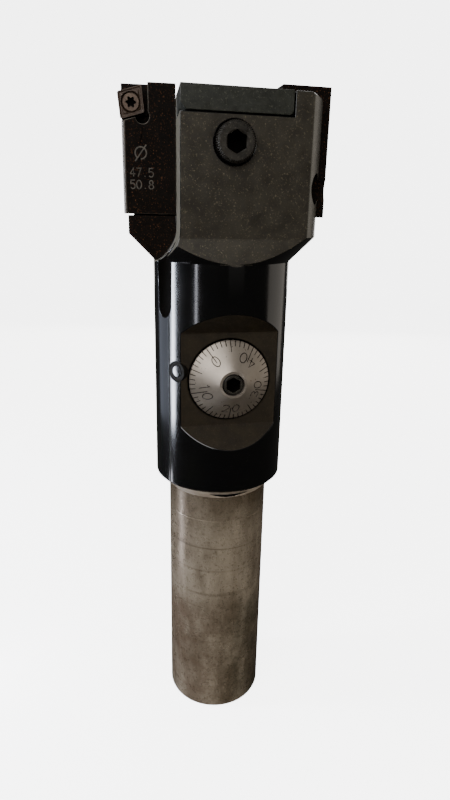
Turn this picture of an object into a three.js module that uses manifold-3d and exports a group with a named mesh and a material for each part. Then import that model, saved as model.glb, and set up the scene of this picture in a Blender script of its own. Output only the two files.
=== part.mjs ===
// Adjustable twin-cutter boring head on a straight shank, in millimetres.
// +Z is the tool axis, the origin is the centre of the shank end, and the dial faces -Y.
// The head is the same after half a turn about Z, apart from the dial and its pocket.

import * as THREE from 'three';
import { mergeVertices } from 'three/addons/utils/BufferGeometryUtils.js';
import Module from 'manifold-3d';

const wasm = await Module();
wasm.setup();

// ---- driving dimensions -------------------------------------------------------------------

const FINE = 72;                 // sides of the large round bodies
const MEDIUM = 40;               // sides of screws and bushes
const COARSE = 24;               // sides of small pins and holes
const FIT = 0.3;                 // gap between pieces that touch on the real tool
const TRAVEL = 1.65;             // how far each cutter moves out

const SHANK_R = 12.7;            // one-inch shank
const SHANK_TOP = 65.7;
const NECK_R = 16.05;
const NECK_TOP = 122.4;
const HEAD_R = 21.63;
const HEAD_TOP = 156.6;
const ABOVE = HEAD_TOP + 5;       // height that cutting shapes run out to
const BEYOND = 25;               // radius that cutting shapes run out to
const FLAT_Y = 14.75;            // front and rear flats of the head
const AXIAL_BORE_R = 6.3;

const DIAL_Z = 95.64;            // height of the adjusting spindle
const DIAL_R = 9.5;
const POCKET_Y = 11.19;          // flat that the dial sits on
const POCKET_HALF = 11.2;        // half its height
const SPINDLE_BORE_R = 8.8;

const WALL_X = 10.95;            // inner corner of the chip gullet
const WALL_Y = 1.5;
const RAKE = THREE.MathUtils.degToRad(4.3);
const GULLET_FLOOR = 121.5;
const GULLET_R = 8;

const SEAT_Z = 132.3;            // underside of a cartridge
const CARTRIDGE_TOP = 158.96;
const CARTRIDGE_OUT = 22.55;
const CARTRIDGE_OUT_REAR = 21.85;
const CARTRIDGE_REAR = 8.1;

const TIP = [-12.45, 156.9];     // cutting corner, from the gullet corner outwards and up
const INSERT_SIDE = 5.4;
const INSERT_THICK = 2.38;
const LEAD = THREE.MathUtils.degToRad(16);
const CORNER = THREE.MathUtils.degToRad(100);

const CLAMP_X = -0.75;           // centre of the front clamp screw
const CLAMP_Z = 146.4;
const CLAMP_HEAD_R = 4.1;
const CLAMP_STEM_R = 2.4;
const BAR_BOTTOM = 152.0;
const BAR_RIGHT = 11.45;
const BAR_INNER_Y = 4.4;
const LOCK_Y = 10.75;            // cartridge lock screws, along X
const LOCK_Z = 138.2;
const BOLT_Y = 3.9;              // cartridge bolts, along X
const DRIVE_Z = 142;             // cross pin that drives both slides

const PUSH_ROD_R = 3.5;
const FOOT_R = 2.5;
const RAMP_AT_AXIS = 101.6;      // height of the wedge nut's ramp on the tool axis

// ---- materials ----------------------------------------------------------------------------

const finish = (color, roughness, metalness) =>
  new THREE.MeshStandardMaterial({ color, roughness, metalness });

const blackedSteel = finish(0x23252b, 0.32, 0.85);
const brownedSteel = finish(0x2b2522, 0.5, 0.75);
const blackScrew = finish(0x1b1c1e, 0.42, 0.8);
const brightSteel = finish(0x9c9890, 0.3, 1.0);
const brushedDial = finish(0xa9a69e, 0.28, 1.0);
const carbide = finish(0x6e5f50, 0.45, 0.7);
const bronze = finish(0x9a7440, 0.4, 0.9);
const springSteel = finish(0x6c6e72, 0.35, 0.95);

// ---- solids -------------------------------------------------------------------------------

function solid(geometry) {
  const bare = geometry.index ? geometry.clone() : mergeVertices(geometry);
  bare.deleteAttribute('normal');
  bare.deleteAttribute('uv');
  const merged = mergeVertices(bare, 1e-4);
  const index = merged.index.array;
  const triangles = [];
  for (let i = 0; i < index.length; i += 3) {
    const [a, b, c] = [index[i], index[i + 1], index[i + 2]];
    if (a !== b && b !== c && c !== a) triangles.push(a, b, c);
  }
  const vertProperties = new Float32Array(merged.attributes.position.array);
  const triVerts = new Uint32Array(triangles);
  return new wasm.Manifold(new wasm.Mesh({ numProp: 3, vertProperties, triVerts }));
}

function part(name, manifold, material) {
  const result = manifold.getMesh();
  const geometry = new THREE.BufferGeometry();
  const positions = new Float32Array(result.vertProperties);
  geometry.setAttribute('position', new THREE.BufferAttribute(positions, 3));
  geometry.setIndex(new THREE.BufferAttribute(new Uint32Array(result.triVerts), 1));
  geometry.computeVertexNormals();
  const mesh = new THREE.Mesh(geometry, material);
  mesh.name = name;
  return mesh;
}

function box(x0, x1, y0, y1, z0, z1) {
  const geometry = new THREE.BoxGeometry(x1 - x0, y1 - y0, z1 - z0);
  return solid(geometry.translate((x0 + x1) / 2, (y0 + y1) / 2, (z0 + z1) / 2));
}

// Round bar along one axis, through (u, v) of the other two axes in x, y, z order.
function bar(axis, radius, from, to, u, v, sides = MEDIUM) {
  const geometry = new THREE.CylinderGeometry(radius, radius, to - from, sides);
  const middle = (from + to) / 2;
  if (axis === 'x') return solid(geometry.rotateZ(-Math.PI / 2).translate(middle, u, v));
  if (axis === 'y') return solid(geometry.translate(u, middle, v));
  return solid(geometry.rotateX(Math.PI / 2).translate(u, v, middle));
}

// Section of a plain ring, from its inner to its outer radius.
const ringSection = (inner, outer, low, high) =>
  [[inner, high], [inner, low], [outer, low], [outer, high], [inner, high]];

const profile = (pairs) => pairs.map(([radius, height]) => new THREE.Vector2(radius, height));

// Turned piece about Z, from [radius, height] pairs that run upwards on the outside.
function turned(pairs, sides = MEDIUM) {
  return solid(new THREE.LatheGeometry(profile(pairs), sides).rotateX(Math.PI / 2));
}

// Turned piece about the spindle axis, from [radius, y] pairs.
function turnedOnSpindle(pairs, sides = MEDIUM) {
  return solid(new THREE.LatheGeometry(profile(pairs), sides).translate(0, 0, DIAL_Z));
}

// Outline in x and z, pushed along +Y from y0 to y1.
function alongY(shape, y0, y1, curveSegments = 12) {
  const options = { depth: y1 - y0, bevelEnabled: false, curveSegments };
  return solid(new THREE.ExtrudeGeometry(shape, options).rotateX(Math.PI / 2).translate(0, y1, 0));
}

// Outline in y and z, pushed along X from x0 to x1.
function alongX(points, x0, x1) {
  const shape = new THREE.Shape(points.map(([y, z]) => new THREE.Vector2(y, z)));
  const geometry = new THREE.ExtrudeGeometry(shape, { depth: x1 - x0, bevelEnabled: false });
  return solid(geometry.rotateX(Math.PI / 2).rotateZ(Math.PI / 2).translate(x0, 0, 0));
}

const outline = (points) => new THREE.Shape(points.map(([a, b]) => new THREE.Vector2(a, b)));
const halfTurn = (manifold) => manifold.rotate([0, 0, 180]);
const bothSides = (manifold) => manifold.add(halfTurn(manifold));

function hexagon(acrossFlats) {
  const corner = acrossFlats / Math.sqrt(3);
  const points = [];
  for (let i = 0; i < 6; i += 1) {
    const angle = Math.PI / 2 + i * Math.PI / 3;
    points.push([corner * Math.cos(angle), corner * Math.sin(angle)]);
  }
  return outline(points);
}

// Turns a shape modelled on the left gullet's own axes to the rake angle, at the gullet corner.
function atRake(manifold) {
  return manifold.rotate([0, 0, -THREE.MathUtils.radToDeg(RAKE)]).translate([-WALL_X, -WALL_Y, 0]);
}

// ---- body ---------------------------------------------------------------------------------

function bodyBlank() {
  const chamfer = 0.9;
  const ring = 59;
  const slideFloor = 134.1;
  return turned([
    [0, slideFloor], [AXIAL_BORE_R, slideFloor], [AXIAL_BORE_R, 0],
    [SHANK_R - chamfer, 0], [SHANK_R, chamfer],
    [SHANK_R, ring - 0.3], [SHANK_R - 0.2, ring], [SHANK_R, ring + 0.3],
    [SHANK_R, SHANK_TOP], [NECK_R, SHANK_TOP + NECK_R - SHANK_R],
    [NECK_R, NECK_TOP], [HEAD_R, NECK_TOP + HEAD_R - NECK_R],
    [HEAD_R, HEAD_TOP - 0.5], [HEAD_R - 0.5, HEAD_TOP], [0, HEAD_TOP],
  ], FINE);
}

// Front flat with the shallow ramp that runs out to the neck.
function headFlat() {
  const rampTop = 127.7;
  const rampFoot = 121.2;
  return alongX([
    [-FLAT_Y, ABOVE], [-FLAT_Y, rampTop], [-NECK_R - 0.15, rampFoot],
    [-BEYOND, rampFoot], [-BEYOND, ABOVE],
  ], -BEYOND, BEYOND);
}

function gullet() {
  const shape = new THREE.Shape();
  shape.moveTo(0, ABOVE);
  shape.lineTo(0, GULLET_FLOOR + GULLET_R);
  shape.absarc(-GULLET_R, GULLET_FLOOR + GULLET_R, GULLET_R, 0, -Math.PI / 2, true);
  shape.lineTo(-BEYOND, GULLET_FLOOR);
  shape.lineTo(-BEYOND, ABOVE);
  return atRake(alongY(shape, -BEYOND, 0));
}

// Round-bottomed groove that runs out down the neck below the gullet.
function neckGroove() {
  const bearing = THREE.MathUtils.degToRad(204.7);
  const at = (radius, z) =>
    new THREE.Vector3(radius * Math.cos(bearing), radius * Math.sin(bearing), z);
  const upper = at(16.2, 126);
  const lower = at(17.4, 112.4);
  const axis = upper.clone().sub(lower);
  const geometry = new THREE.CapsuleGeometry(3, axis.length(), 6, COARSE);
  const up = new THREE.Vector3(0, 1, 0);
  const turn = new THREE.Quaternion().setFromUnitVectors(up, axis.clone().normalize());
  const middle = upper.add(lower).multiplyScalar(0.5);
  return solid(geometry.applyQuaternion(turn).translate(middle.x, middle.y, middle.z));
}

function cartridgePocket() {
  return box(-BEYOND, -WALL_X + FIT, -WALL_Y - 0.1, CARTRIDGE_REAR + FIT, SEAT_Z - FIT, ABOVE);
}

// Channel for the two slides, with a narrow middle for the push rod's blade.
function slideChannel() {
  const half = box(-WALL_X - 0.3, 6.4, 1.0, 4.3, 134, 150);
  const boss = box(-WALL_X - 0.3, -4.7, 0.6, 7.2, 136.9, 147.1);
  const blade = box(-4.2, 4.2, -1.1, 1.1, 134, 150);
  return bothSides(half.add(boss)).add(blade);
}

function barPocket() {
  return box(-BEYOND, BAR_RIGHT + FIT, -BEYOND, -BAR_INNER_Y + FIT, BAR_BOTTOM - FIT, ABOVE);
}

function clampHole() {
  const counterbore = bar('y', CLAMP_HEAD_R + FIT, -BEYOND, -10.4, CLAMP_X, CLAMP_Z);
  const thread = bar('y', CLAMP_STEM_R + FIT, -10.5, -4, CLAMP_X, CLAMP_Z);
  return counterbore.add(thread);
}

function lockHole() {
  const head = bar('x', 3.25, 12.9, BEYOND, -LOCK_Y, LOCK_Z);
  const thread = bar('x', 2.7, 4.5, 13, -LOCK_Y, LOCK_Z, COARSE);
  return head.add(thread);
}

function dialPocket() {
  const out = 7;
  const flat = alongX([
    [-POCKET_Y, DIAL_Z - POCKET_HALF], [-POCKET_Y, DIAL_Z + POCKET_HALF],
    [-POCKET_Y - out, DIAL_Z + POCKET_HALF + out], [-POCKET_Y - out, DIAL_Z - POCKET_HALF - out],
  ], -BEYOND, BEYOND);
  const rim = bar('y', DIAL_R + FIT, -12, -9.1, 0, DIAL_Z, FINE);
  const bore = bar('y', SPINDLE_BORE_R, -9.2, 8.3, 0, DIAL_Z, FINE);
  const tail = bar('y', 4.3, 8.2, 11.5, 0, DIAL_Z);
  return flat.add(rim).add(bore).add(tail);
}

// Shape on the lock screw's own axis, which points out of the neck at its bearing.
function onLockAxis(geometry) {
  const bearing = THREE.MathUtils.degToRad(220);
  return solid(geometry.rotateZ(-Math.PI / 2).rotateZ(bearing).translate(0, 0, 97.8));
}

function spindleLockHole() {
  const seat = onLockAxis(new THREE.CylinderGeometry(2.5, 2.5, 3, COARSE).translate(0, 15.5, 0));
  const tip = onLockAxis(new THREE.CylinderGeometry(1.1, 1.1, 5, 16).translate(0, 12.5, 0));
  return seat.add(tip);
}

// Crescent cut by a wheel in the cone above the shank.
function crescentNotch() {
  return bar('z', 20, SHANK_TOP + 0.1, SHANK_TOP + 1.6, 0, -32.9, FINE);
}

function makeBody() {
  const pair = headFlat().add(gullet()).add(neckGroove()).add(cartridgePocket())
    .add(barPocket()).add(clampHole()).add(lockHole());
  const cuts = bothSides(pair).add(slideChannel()).add(dialPocket())
    .add(spindleLockHole()).add(crescentNotch());
  return part('body', bodyBlank().subtract(cuts), blackedSteel);
}

// ---- cutters ------------------------------------------------------------------------------

// Corners of the rhombic insert on the gullet's own axes, from the cutting corner round.
function insertCorners() {
  const [x, z] = TIP;
  const top = [Math.cos(LEAD) * INSERT_SIDE, Math.sin(LEAD) * INSERT_SIDE];
  const side = [Math.cos(LEAD - CORNER) * INSERT_SIDE, Math.sin(LEAD - CORNER) * INSERT_SIDE];
  return [
    [x, z], [x + side[0], z + side[1]],
    [x + side[0] + top[0], z + side[1] + top[1]], [x + top[0], z + top[1]],
  ];
}

function insertCentre() {
  const corners = insertCorners();
  return [(corners[0][0] + corners[2][0]) / 2, (corners[0][1] + corners[2][1]) / 2];
}

function roundedOutline(corners, radius) {
  const shape = new THREE.Shape();
  corners.forEach((corner, i) => {
    const here = new THREE.Vector2(...corner);
    const before = new THREE.Vector2(...corners[(i + corners.length - 1) % corners.length]);
    const after = new THREE.Vector2(...corners[(i + 1) % corners.length]);
    const enter = here.clone().add(before.sub(here).setLength(radius));
    const leave = here.clone().add(after.sub(here).setLength(radius));
    if (i === 0) shape.moveTo(enter.x, enter.y);
    else shape.lineTo(enter.x, enter.y);
    shape.quadraticCurveTo(here.x, here.y, leave.x, leave.y);
  });
  shape.closePath();
  return shape;
}

function makeInsert() {
  const back = 0.86;                        // clearance angle, as the back face's size
  const [cx, cz] = insertCentre();
  const shape = roundedOutline(insertCorners(), 0.45);
  const options = { depth: INSERT_THICK, bevelEnabled: false, curveSegments: 4 };
  const geometry = new THREE.ExtrudeGeometry(shape, options);
  geometry.rotateX(Math.PI / 2).translate(0, INSERT_THICK, 0);
  const position = geometry.attributes.position;
  for (let i = 0; i < position.count; i += 1) {
    const scale = position.getY(i) > INSERT_THICK / 2 ? back : 1;
    position.setX(i, cx + (position.getX(i) - cx) * scale);
    position.setZ(i, cz + (position.getZ(i) - cz) * scale);
  }
  const hole = turned([[0, -0.1], [2.2, -0.1], [1.5, 1.4], [1.5, 3], [0, 3]], COARSE)
    .rotate([-90, 0, 0]).translate([cx, 0, cz]);
  return part('insert', atRake(solid(geometry).subtract(hole)), carbide);
}

function makeInsertScrew() {
  const [cx, cz] = insertCentre();
  const screw = turned([[0, 0.15], [1.85, 0.15], [1.2, 1.45], [1.2, 5.6], [0, 5.6]], COARSE);
  const star = [];
  for (let i = 0; i < 24; i += 1) {
    const angle = i * Math.PI / 12;
    const radius = 0.85 + 0.15 * Math.cos(6 * angle);
    star.push([radius * Math.cos(angle), radius * Math.sin(angle)]);
  }
  const socket = alongY(outline(star), -0.5, 1.0);
  const onAxis = screw.rotate([-90, 0, 0]).subtract(socket);
  return part('insert_screw', atRake(onAxis.translate([cx, 0, cz])), blackScrew);
}

function insertPocket() {
  const [, low, inner] = insertCorners();
  const wall = inner[0] + 0.7;
  const shape = outline([
    [-BEYOND, ABOVE], [-BEYOND, low[1] - FIT - 3.7], [low[0], low[1] - FIT],
    [inner[0], inner[1] - FIT], [wall, inner[1] - FIT], [wall, ABOVE],
  ]);
  const recess = alongY(shape, -1, INSERT_THICK + FIT);
  const relief = bar('y', 1.5, -1, INSERT_THICK + FIT, inner[0] - 0.5, inner[1] - 0.7, COARSE);
  const [cx, cz] = insertCentre();
  const thread = bar('y', 1.4, INSERT_THICK, 6.2, cx, cz, COARSE);
  return atRake(recess.add(relief).add(thread));
}

function makeCartridge() {
  const outerFrontY = -WALL_Y + Math.tan(RAKE) * (CARTRIDGE_OUT - WALL_X);
  const edge = 0.5;
  const plan = outline([
    [-WALL_X, -WALL_Y], [-WALL_X, CARTRIDGE_REAR], [-CARTRIDGE_OUT_REAR, CARTRIDGE_REAR],
    [-CARTRIDGE_OUT, outerFrontY + edge],
    [-CARTRIDGE_OUT + edge, outerFrontY - edge * Math.tan(RAKE)],
  ]);
  const options = { depth: CARTRIDGE_TOP - SEAT_Z, bevelEnabled: false };
  const block = solid(new THREE.ExtrudeGeometry(plan, options).translate(0, 0, SEAT_Z));
  const boltHead = bar('x', 3.15, -BEYOND, -18.2, BOLT_Y, DRIVE_Z, COARSE);
  const boltHole = bar('x', 2.2, -BEYOND, -5, BOLT_Y, DRIVE_Z, COARSE);
  const scallop = bar('x', 3.35, -BEYOND, -5, LOCK_Y, LOCK_Z);
  const cuts = insertPocket().add(boltHead).add(boltHole).add(scallop);
  return part('cartridge', block.subtract(cuts), brownedSteel);
}

function makeCartridgeBolt() {
  const [end, underHead, headTop] = [6.6, 18.4, 21.4];
  const bolt = turned([
    [0, end], [1.9, end], [1.9, underHead], [2.9, underHead], [2.9, headTop], [0, headTop],
  ], COARSE);
  const socket = alongY(hexagon(3), headTop - 2, headTop + 1).rotate([90, 0, 0]);
  const upright = bolt.subtract(socket);
  return part('cartridge_bolt', upright.rotate([0, -90, 0]).translate([0, BOLT_Y, DRIVE_Z]), blackScrew);
}

// Plate with the sloping slot that turns the pin's rise into the cutter's travel.
function makeSlide() {
  const plate = box(-WALL_X + FIT, 6, 1.3, 4.0, 134.3, 149.7);
  const boss = box(-WALL_X + FIT, -5, 0.9, 6.9, 137.2, 146.8);
  const reach = TRAVEL + 0.2;
  const slotR = 1.75;
  const slot = new THREE.Shape();
  slot.absarc(-0.2, DRIVE_Z - 0.2, slotR, Math.PI * 0.75, Math.PI * 1.75, false);
  slot.absarc(reach, DRIVE_Z + reach, slotR, -Math.PI / 4, Math.PI * 0.75, false);
  const cut = alongY(slot, 0, 5);
  const thread = bar('x', 2.15, -12, -4, BOLT_Y, DRIVE_Z, COARSE);
  return part('slide', plate.add(boss).subtract(cut.add(thread)), brightSteel);
}

// ---- clamping and locking -----------------------------------------------------------------

function makeClampScrew() {
  const headTop = FLAT_Y + 2;
  const headBottom = 10.7;
  const screw = turned([
    [0, 6.8], [CLAMP_STEM_R, 6.8], [CLAMP_STEM_R, headBottom], [CLAMP_HEAD_R, headBottom],
    [CLAMP_HEAD_R, headTop - 0.4], [CLAMP_HEAD_R - 0.4, headTop], [0, headTop],
  ]);
  const upright = screw.rotate([90, 0, 0]);
  const socket = alongY(hexagon(3.97), -headTop - 1, -headTop + 3);
  const screwAndSocket = upright.subtract(socket);
  return part('clamp_screw', screwAndSocket.translate([CLAMP_X, 0, CLAMP_Z]), blackScrew);
}

function makeClampPad() {
  return part('clamp_pad', bar('y', CLAMP_STEM_R, -6.5, -4.3, CLAMP_X, CLAMP_Z, COARSE), bronze);
}

// Bar let into the top of each flat, notched at one end where it bears on a cartridge.
function makeGibBar() {
  const bevel = 1.3;
  const round = 1.0;
  const [left, right, top] = [-11.95, BAR_RIGHT, HEAD_TOP + 0.1];
  const shape = new THREE.Shape();
  shape.moveTo(left, top);
  shape.lineTo(left, BAR_BOTTOM + bevel);
  shape.lineTo(left + bevel, BAR_BOTTOM);
  shape.lineTo(right - round, BAR_BOTTOM);
  shape.absarc(right - round, BAR_BOTTOM + round, round, -Math.PI / 2, 0, false);
  shape.lineTo(right, top);
  const blank = alongY(shape, -FLAT_Y, -BAR_INNER_Y, 5);
  const trim = atRake(box(-BEYOND, 0.05, -BEYOND, 5, CLAMP_Z, ABOVE));
  const notch = box(WALL_X - FIT, BEYOND, -CARTRIDGE_REAR - FIT, 0, CLAMP_Z, ABOVE);
  return part('gib_bar', blank.subtract(trim.add(notch)), blackedSteel);
}

function makeLockScrew() {
  const [end, underHead, headTop] = [5, 13.2, 16.6];
  const screw = turned([
    [0, end], [2.4, end], [2.4, underHead], [3.0, underHead], [3.0, headTop], [0, headTop],
  ], COARSE);
  const socket = alongY(hexagon(2.5), headTop - 2, headTop + 1).rotate([90, 0, 0]);
  const upright = screw.subtract(socket);
  return part('lock_screw', upright.rotate([0, 90, 0]).translate([0, -LOCK_Y, LOCK_Z]), blackScrew);
}

// ---- adjusting drive ----------------------------------------------------------------------

function makeDial() {
  return part('dial', turnedOnSpindle([
    [2.6, -9.4], [2.6, -16], [3.1, -16], [DIAL_R, -11.6], [DIAL_R, -9.4], [2.6, -9.4],
  ], FINE), brushedDial);
}

function makeAdjustingScrew() {
  const screw = turnedOnSpindle([
    [0, -15.9], [2.3, -15.9], [2.3, -5.4], [4.6, -5.4], [4.6, -4.7], [2.4, -4.7],
    [2.4, 8.1], [2.0, 8.1], [2.0, 11], [0, 11],
  ], COARSE);
  const socket = alongY(hexagon(3.175), -17, -12.9).translate([0, 0, DIAL_Z]);
  return part('adjusting_screw', screw.subtract(socket), brightSteel);
}

function spindleRing(name, inner, outer, y0, y1, material) {
  return part(name, turnedOnSpindle(ringSection(inner, outer, y0, y1)), material);
}

// Wave washer behind the dial, which holds it where it is set.
function makeFrictionSpring() {
  const section = profile(ringSection(5.4, 8.0, -8.85, -8.55));
  const geometry = new THREE.LatheGeometry(section, MEDIUM).translate(0, 0, DIAL_Z);
  const position = geometry.attributes.position;
  for (let i = 0; i < position.count; i += 1) {
    const angle = Math.atan2(position.getZ(i) - DIAL_Z, position.getX(i));
    position.setY(i, position.getY(i) + 0.2 * Math.cos(3 * angle));
  }
  return part('friction_spring', solid(geometry), springSteel);
}

// The nut's 45-degree ramp lifts the push rod as the screw draws it forwards.
function makeWedgeNut() {
  const nut = turnedOnSpindle(ringSection(2.7, 8.5, -2.6, 7.8), FINE);
  const ramp = alongX([
    [-2.8, RAMP_AT_AXIS - 2.8], [3.4, RAMP_AT_AXIS + 3.4], [-2.8, RAMP_AT_AXIS + 3.4],
  ], -10, 10);
  return part('wedge_nut', nut.subtract(ramp), bronze);
}

// Plain plug set flush in the neck, with a thin tip that bears on the spindle.
function makeSpindleLockScrew() {
  const head = onLockAxis(new THREE.CylinderGeometry(2.2, 2.2, 1.6, COARSE).translate(0, 15.1, 0));
  const tip = onLockAxis(new THREE.CylinderGeometry(0.8, 0.8, 2.6, 16).translate(0, 13.1, 0));
  return part('spindle_lock_screw', head.add(tip), blackScrew);
}

function makePushRod() {
  const round = turned([
    [0, 98], [FOOT_R, 98], [FOOT_R, 106], [PUSH_ROD_R, 106], [PUSH_ROD_R, 111.6], [5.6, 111.6],
    [5.6, 114], [PUSH_ROD_R, 114], [PUSH_ROD_R, 132.2], [0, 132.2],
  ]);
  const footAtAxis = RAMP_AT_AXIS + 0.4;
  const foot = alongX([[-4, footAtAxis - 4], [4, footAtAxis + 4], [4, 96], [-4, 96]], -4, 4);
  const blade = box(-3.4, 3.4, -0.8, 0.8, 132, 147.5);
  const pinHole = bar('y', 1.6, -2, 2, 0, DRIVE_Z, COARSE);
  return part('push_rod', round.subtract(foot).add(blade).subtract(pinHole), brightSteel);
}

function makeRodSpring() {
  const [low, high, turns, wire, mean] = [114.4, 127.8, 6, 0.5, 4.8];
  class Helix extends THREE.Curve {
    getPoint(t, target = new THREE.Vector3()) {
      const angle = t * turns * 2 * Math.PI;
      const height = low + wire + t * (high - low - 2 * wire);
      return target.set(mean * Math.cos(angle), mean * Math.sin(angle), height);
    }
  }
  const section = new THREE.Shape().absarc(0, 0, wire, 0, 2 * Math.PI, false);
  const sides = { steps: turns * 14, curveSegments: 3 };
  const options = { ...sides, extrudePath: new Helix(), bevelEnabled: false };
  return part('rod_spring', solid(new THREE.ExtrudeGeometry(section, options)), springSteel);
}

function makeRodBush(name, z0, z1) {
  const [inner, outer] = [PUSH_ROD_R + 0.25, AXIAL_BORE_R - 0.25];
  return part(name, turned(ringSection(inner, outer, z0, z1)), bronze);
}

function makeShankPlug() {
  const outer = AXIAL_BORE_R - FIT;
  return part('shank_plug', turned([
    [0, 4.6], [1.2, 4.6], [1.2, 3.2], [2.7, 0.6], [outer, 0.6], [outer, 8], [0, 8],
  ]), brightSteel);
}

// ---- assembly -----------------------------------------------------------------------------

// The right and rear copies are the left and front pieces after half a turn about the tool axis.
function pairOf(make, firstPrefix, secondPrefix) {
  const first = make();
  const base = first.name;
  first.name = `${firstPrefix}_${base}`;
  const second = make();
  second.name = `${secondPrefix}_${base}`;
  const turnedGroup = new THREE.Group();
  turnedGroup.rotation.z = Math.PI;
  turnedGroup.add(second);
  return [first, turnedGroup];
}

const group = new THREE.Group();
group.name = 'boring_head';
group.add(makeBody(), makeShankPlug());
group.add(...pairOf(makeCartridge, 'left', 'right'));
group.add(...pairOf(makeInsert, 'left', 'right'));
group.add(...pairOf(makeInsertScrew, 'left', 'right'));
group.add(...pairOf(makeSlide, 'left', 'right'));
group.add(...pairOf(makeCartridgeBolt, 'left', 'right'));
group.add(...pairOf(makeClampScrew, 'front', 'rear'));
group.add(...pairOf(makeClampPad, 'front', 'rear'));
group.add(...pairOf(makeGibBar, 'front', 'rear'));
group.add(...pairOf(makeLockScrew, 'right', 'left'));
group.add(makeDial(), makeAdjustingScrew(), makeFrictionSpring(), makeWedgeNut());
group.add(spindleRing('spindle_bush', 2.6, 8.5, -8.0, -6.6, bronze));
group.add(spindleRing('thrust_washer', 2.6, 7.5, -6.3, -5.7, springSteel));
group.add(spindleRing('tail_bush', 2.3, 4.0, 8.6, 11.2, bronze));
group.add(makeSpindleLockScrew(), makePushRod(), makeRodSpring());
group.add(makeRodBush('upper_rod_bush', 128.2, 133.4), makeRodBush('lower_rod_bush', 105.6, 110.2));
group.add(part('drive_pin', bar('y', 1.5, -4, 4, 0, DRIVE_Z, COARSE), brightSteel));

export default group;
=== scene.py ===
"""Looks of an adjustable twin-cutter boring head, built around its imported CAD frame.

Lengths in the classes are millimetres and become metres where a mesh is made. The tool axis is +Z, the dial
faces -Y, and the head is the same after half a turn about Z.
"""

from __future__ import annotations

import logging
import math
from collections.abc import Callable, Sequence
from dataclasses import dataclass
from enum import Enum

import bpy
from mathutils import Matrix, Vector

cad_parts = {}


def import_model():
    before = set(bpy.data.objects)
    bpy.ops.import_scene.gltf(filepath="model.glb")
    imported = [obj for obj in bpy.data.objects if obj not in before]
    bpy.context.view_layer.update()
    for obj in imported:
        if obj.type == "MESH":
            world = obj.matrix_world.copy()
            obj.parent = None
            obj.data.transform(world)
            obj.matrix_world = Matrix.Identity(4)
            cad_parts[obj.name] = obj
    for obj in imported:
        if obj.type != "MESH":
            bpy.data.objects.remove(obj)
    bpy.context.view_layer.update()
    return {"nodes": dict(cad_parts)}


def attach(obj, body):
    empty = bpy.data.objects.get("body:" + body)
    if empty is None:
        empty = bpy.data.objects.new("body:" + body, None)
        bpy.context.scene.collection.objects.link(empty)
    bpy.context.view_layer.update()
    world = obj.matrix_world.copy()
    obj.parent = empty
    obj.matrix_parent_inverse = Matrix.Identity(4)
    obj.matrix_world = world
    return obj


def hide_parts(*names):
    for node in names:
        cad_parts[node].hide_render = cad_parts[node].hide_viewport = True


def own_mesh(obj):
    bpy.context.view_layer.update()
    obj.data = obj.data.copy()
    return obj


LOG = logging.getLogger("boring_head")
MM = 0.001
SPECK = 0.34  # millimetres; dust is finer, and is drawn this coarse so that it shows

Point = tuple[float, ...]
Piece = bpy.types.Object
Material = bpy.types.Material
Tree = bpy.types.NodeTree
Socket = bpy.types.NodeSocket


class Axis(Enum):
    """Direction that a turned or pushed shape runs in."""

    X = "X"
    Y = "Y"
    Z = "Z"


# ---- modelling ----------------------------------------------------------------------


def pick(*pieces: Piece) -> None:
    """Leaves only these pieces selected, the first of them active.

    Args:
        *pieces: The pieces.
    """
    bpy.ops.object.select_all(action="DESELECT")
    for piece in pieces:
        piece.select_set(True)
    bpy.context.view_layer.objects.active = pieces[0]


def settle(piece: Piece, place: Matrix | None = None) -> Piece:
    """Moves a piece by a matrix and puts its place in its mesh.

    Args:
        piece: The piece to move.
        place: Matrix in metres, or None where the object's own place is kept.

    Returns:
        The same piece, with its object at the origin.
    """
    if place is not None:
        piece.matrix_world = place @ piece.matrix_world
    pick(piece)
    bpy.ops.object.transform_apply(location=True, rotation=True, scale=True)
    return piece


def close_up(piece: Piece) -> None:
    """Merges doubles and turns every face outwards.

    Args:
        piece: The piece to close.
    """
    pick(piece)
    bpy.ops.object.mode_set(mode="EDIT")
    bpy.ops.mesh.select_all(action="SELECT")
    bpy.ops.mesh.remove_doubles(threshold=0.002 * MM)
    bpy.ops.mesh.normals_make_consistent(inside=False)
    bpy.ops.object.mode_set(mode="OBJECT")


def turned(
    name: str, stations: Sequence[Point], sides: int, axis: Axis = Axis.Z, at: Point = (0, 0, 0)
) -> Piece:
    """Turns a solid bar from a disc that is drawn out and resized at each station.

    Args:
        name: The piece's name.
        stations: Radius and height in millimetres from one end to the other.
        sides: Number of sides.
        axis: Axis of the bar, along which the heights run.
        at: Point that the heights and the axis start from, in millimetres.

    Returns:
        The closed solid.
    """
    bpy.ops.object.select_all(action="DESELECT")
    radius, height = stations[0]
    foot = (0, 0, height * MM)
    bpy.ops.mesh.primitive_circle_add(vertices=sides, radius=radius * MM, fill_type="NGON", location=foot)
    piece = bpy.context.object
    piece.name = name
    bpy.ops.object.transform_apply(location=True)
    bpy.ops.object.mode_set(mode="EDIT")
    bpy.ops.mesh.select_all(action="SELECT")
    for next_radius, next_height in stations[1:]:
        rise = (next_height - height) * MM
        bpy.ops.mesh.extrude_region_move(TRANSFORM_OT_translate={"value": (0, 0, rise)})
        ratio = next_radius / radius
        bpy.ops.transform.resize(value=(ratio, ratio, 1), center_override=(0, 0, next_height * MM))
        radius, height = next_radius, next_height
    bpy.ops.object.mode_set(mode="OBJECT")
    close_up(piece)
    turn = {Axis.X: Matrix.Rotation(math.pi / 2, 4, "Y"), Axis.Y: Matrix.Rotation(-math.pi / 2, 4, "X")}
    return settle(piece, Matrix.Translation(Vector(at) * MM) @ turn.get(axis, Matrix.Identity(4)))


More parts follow.
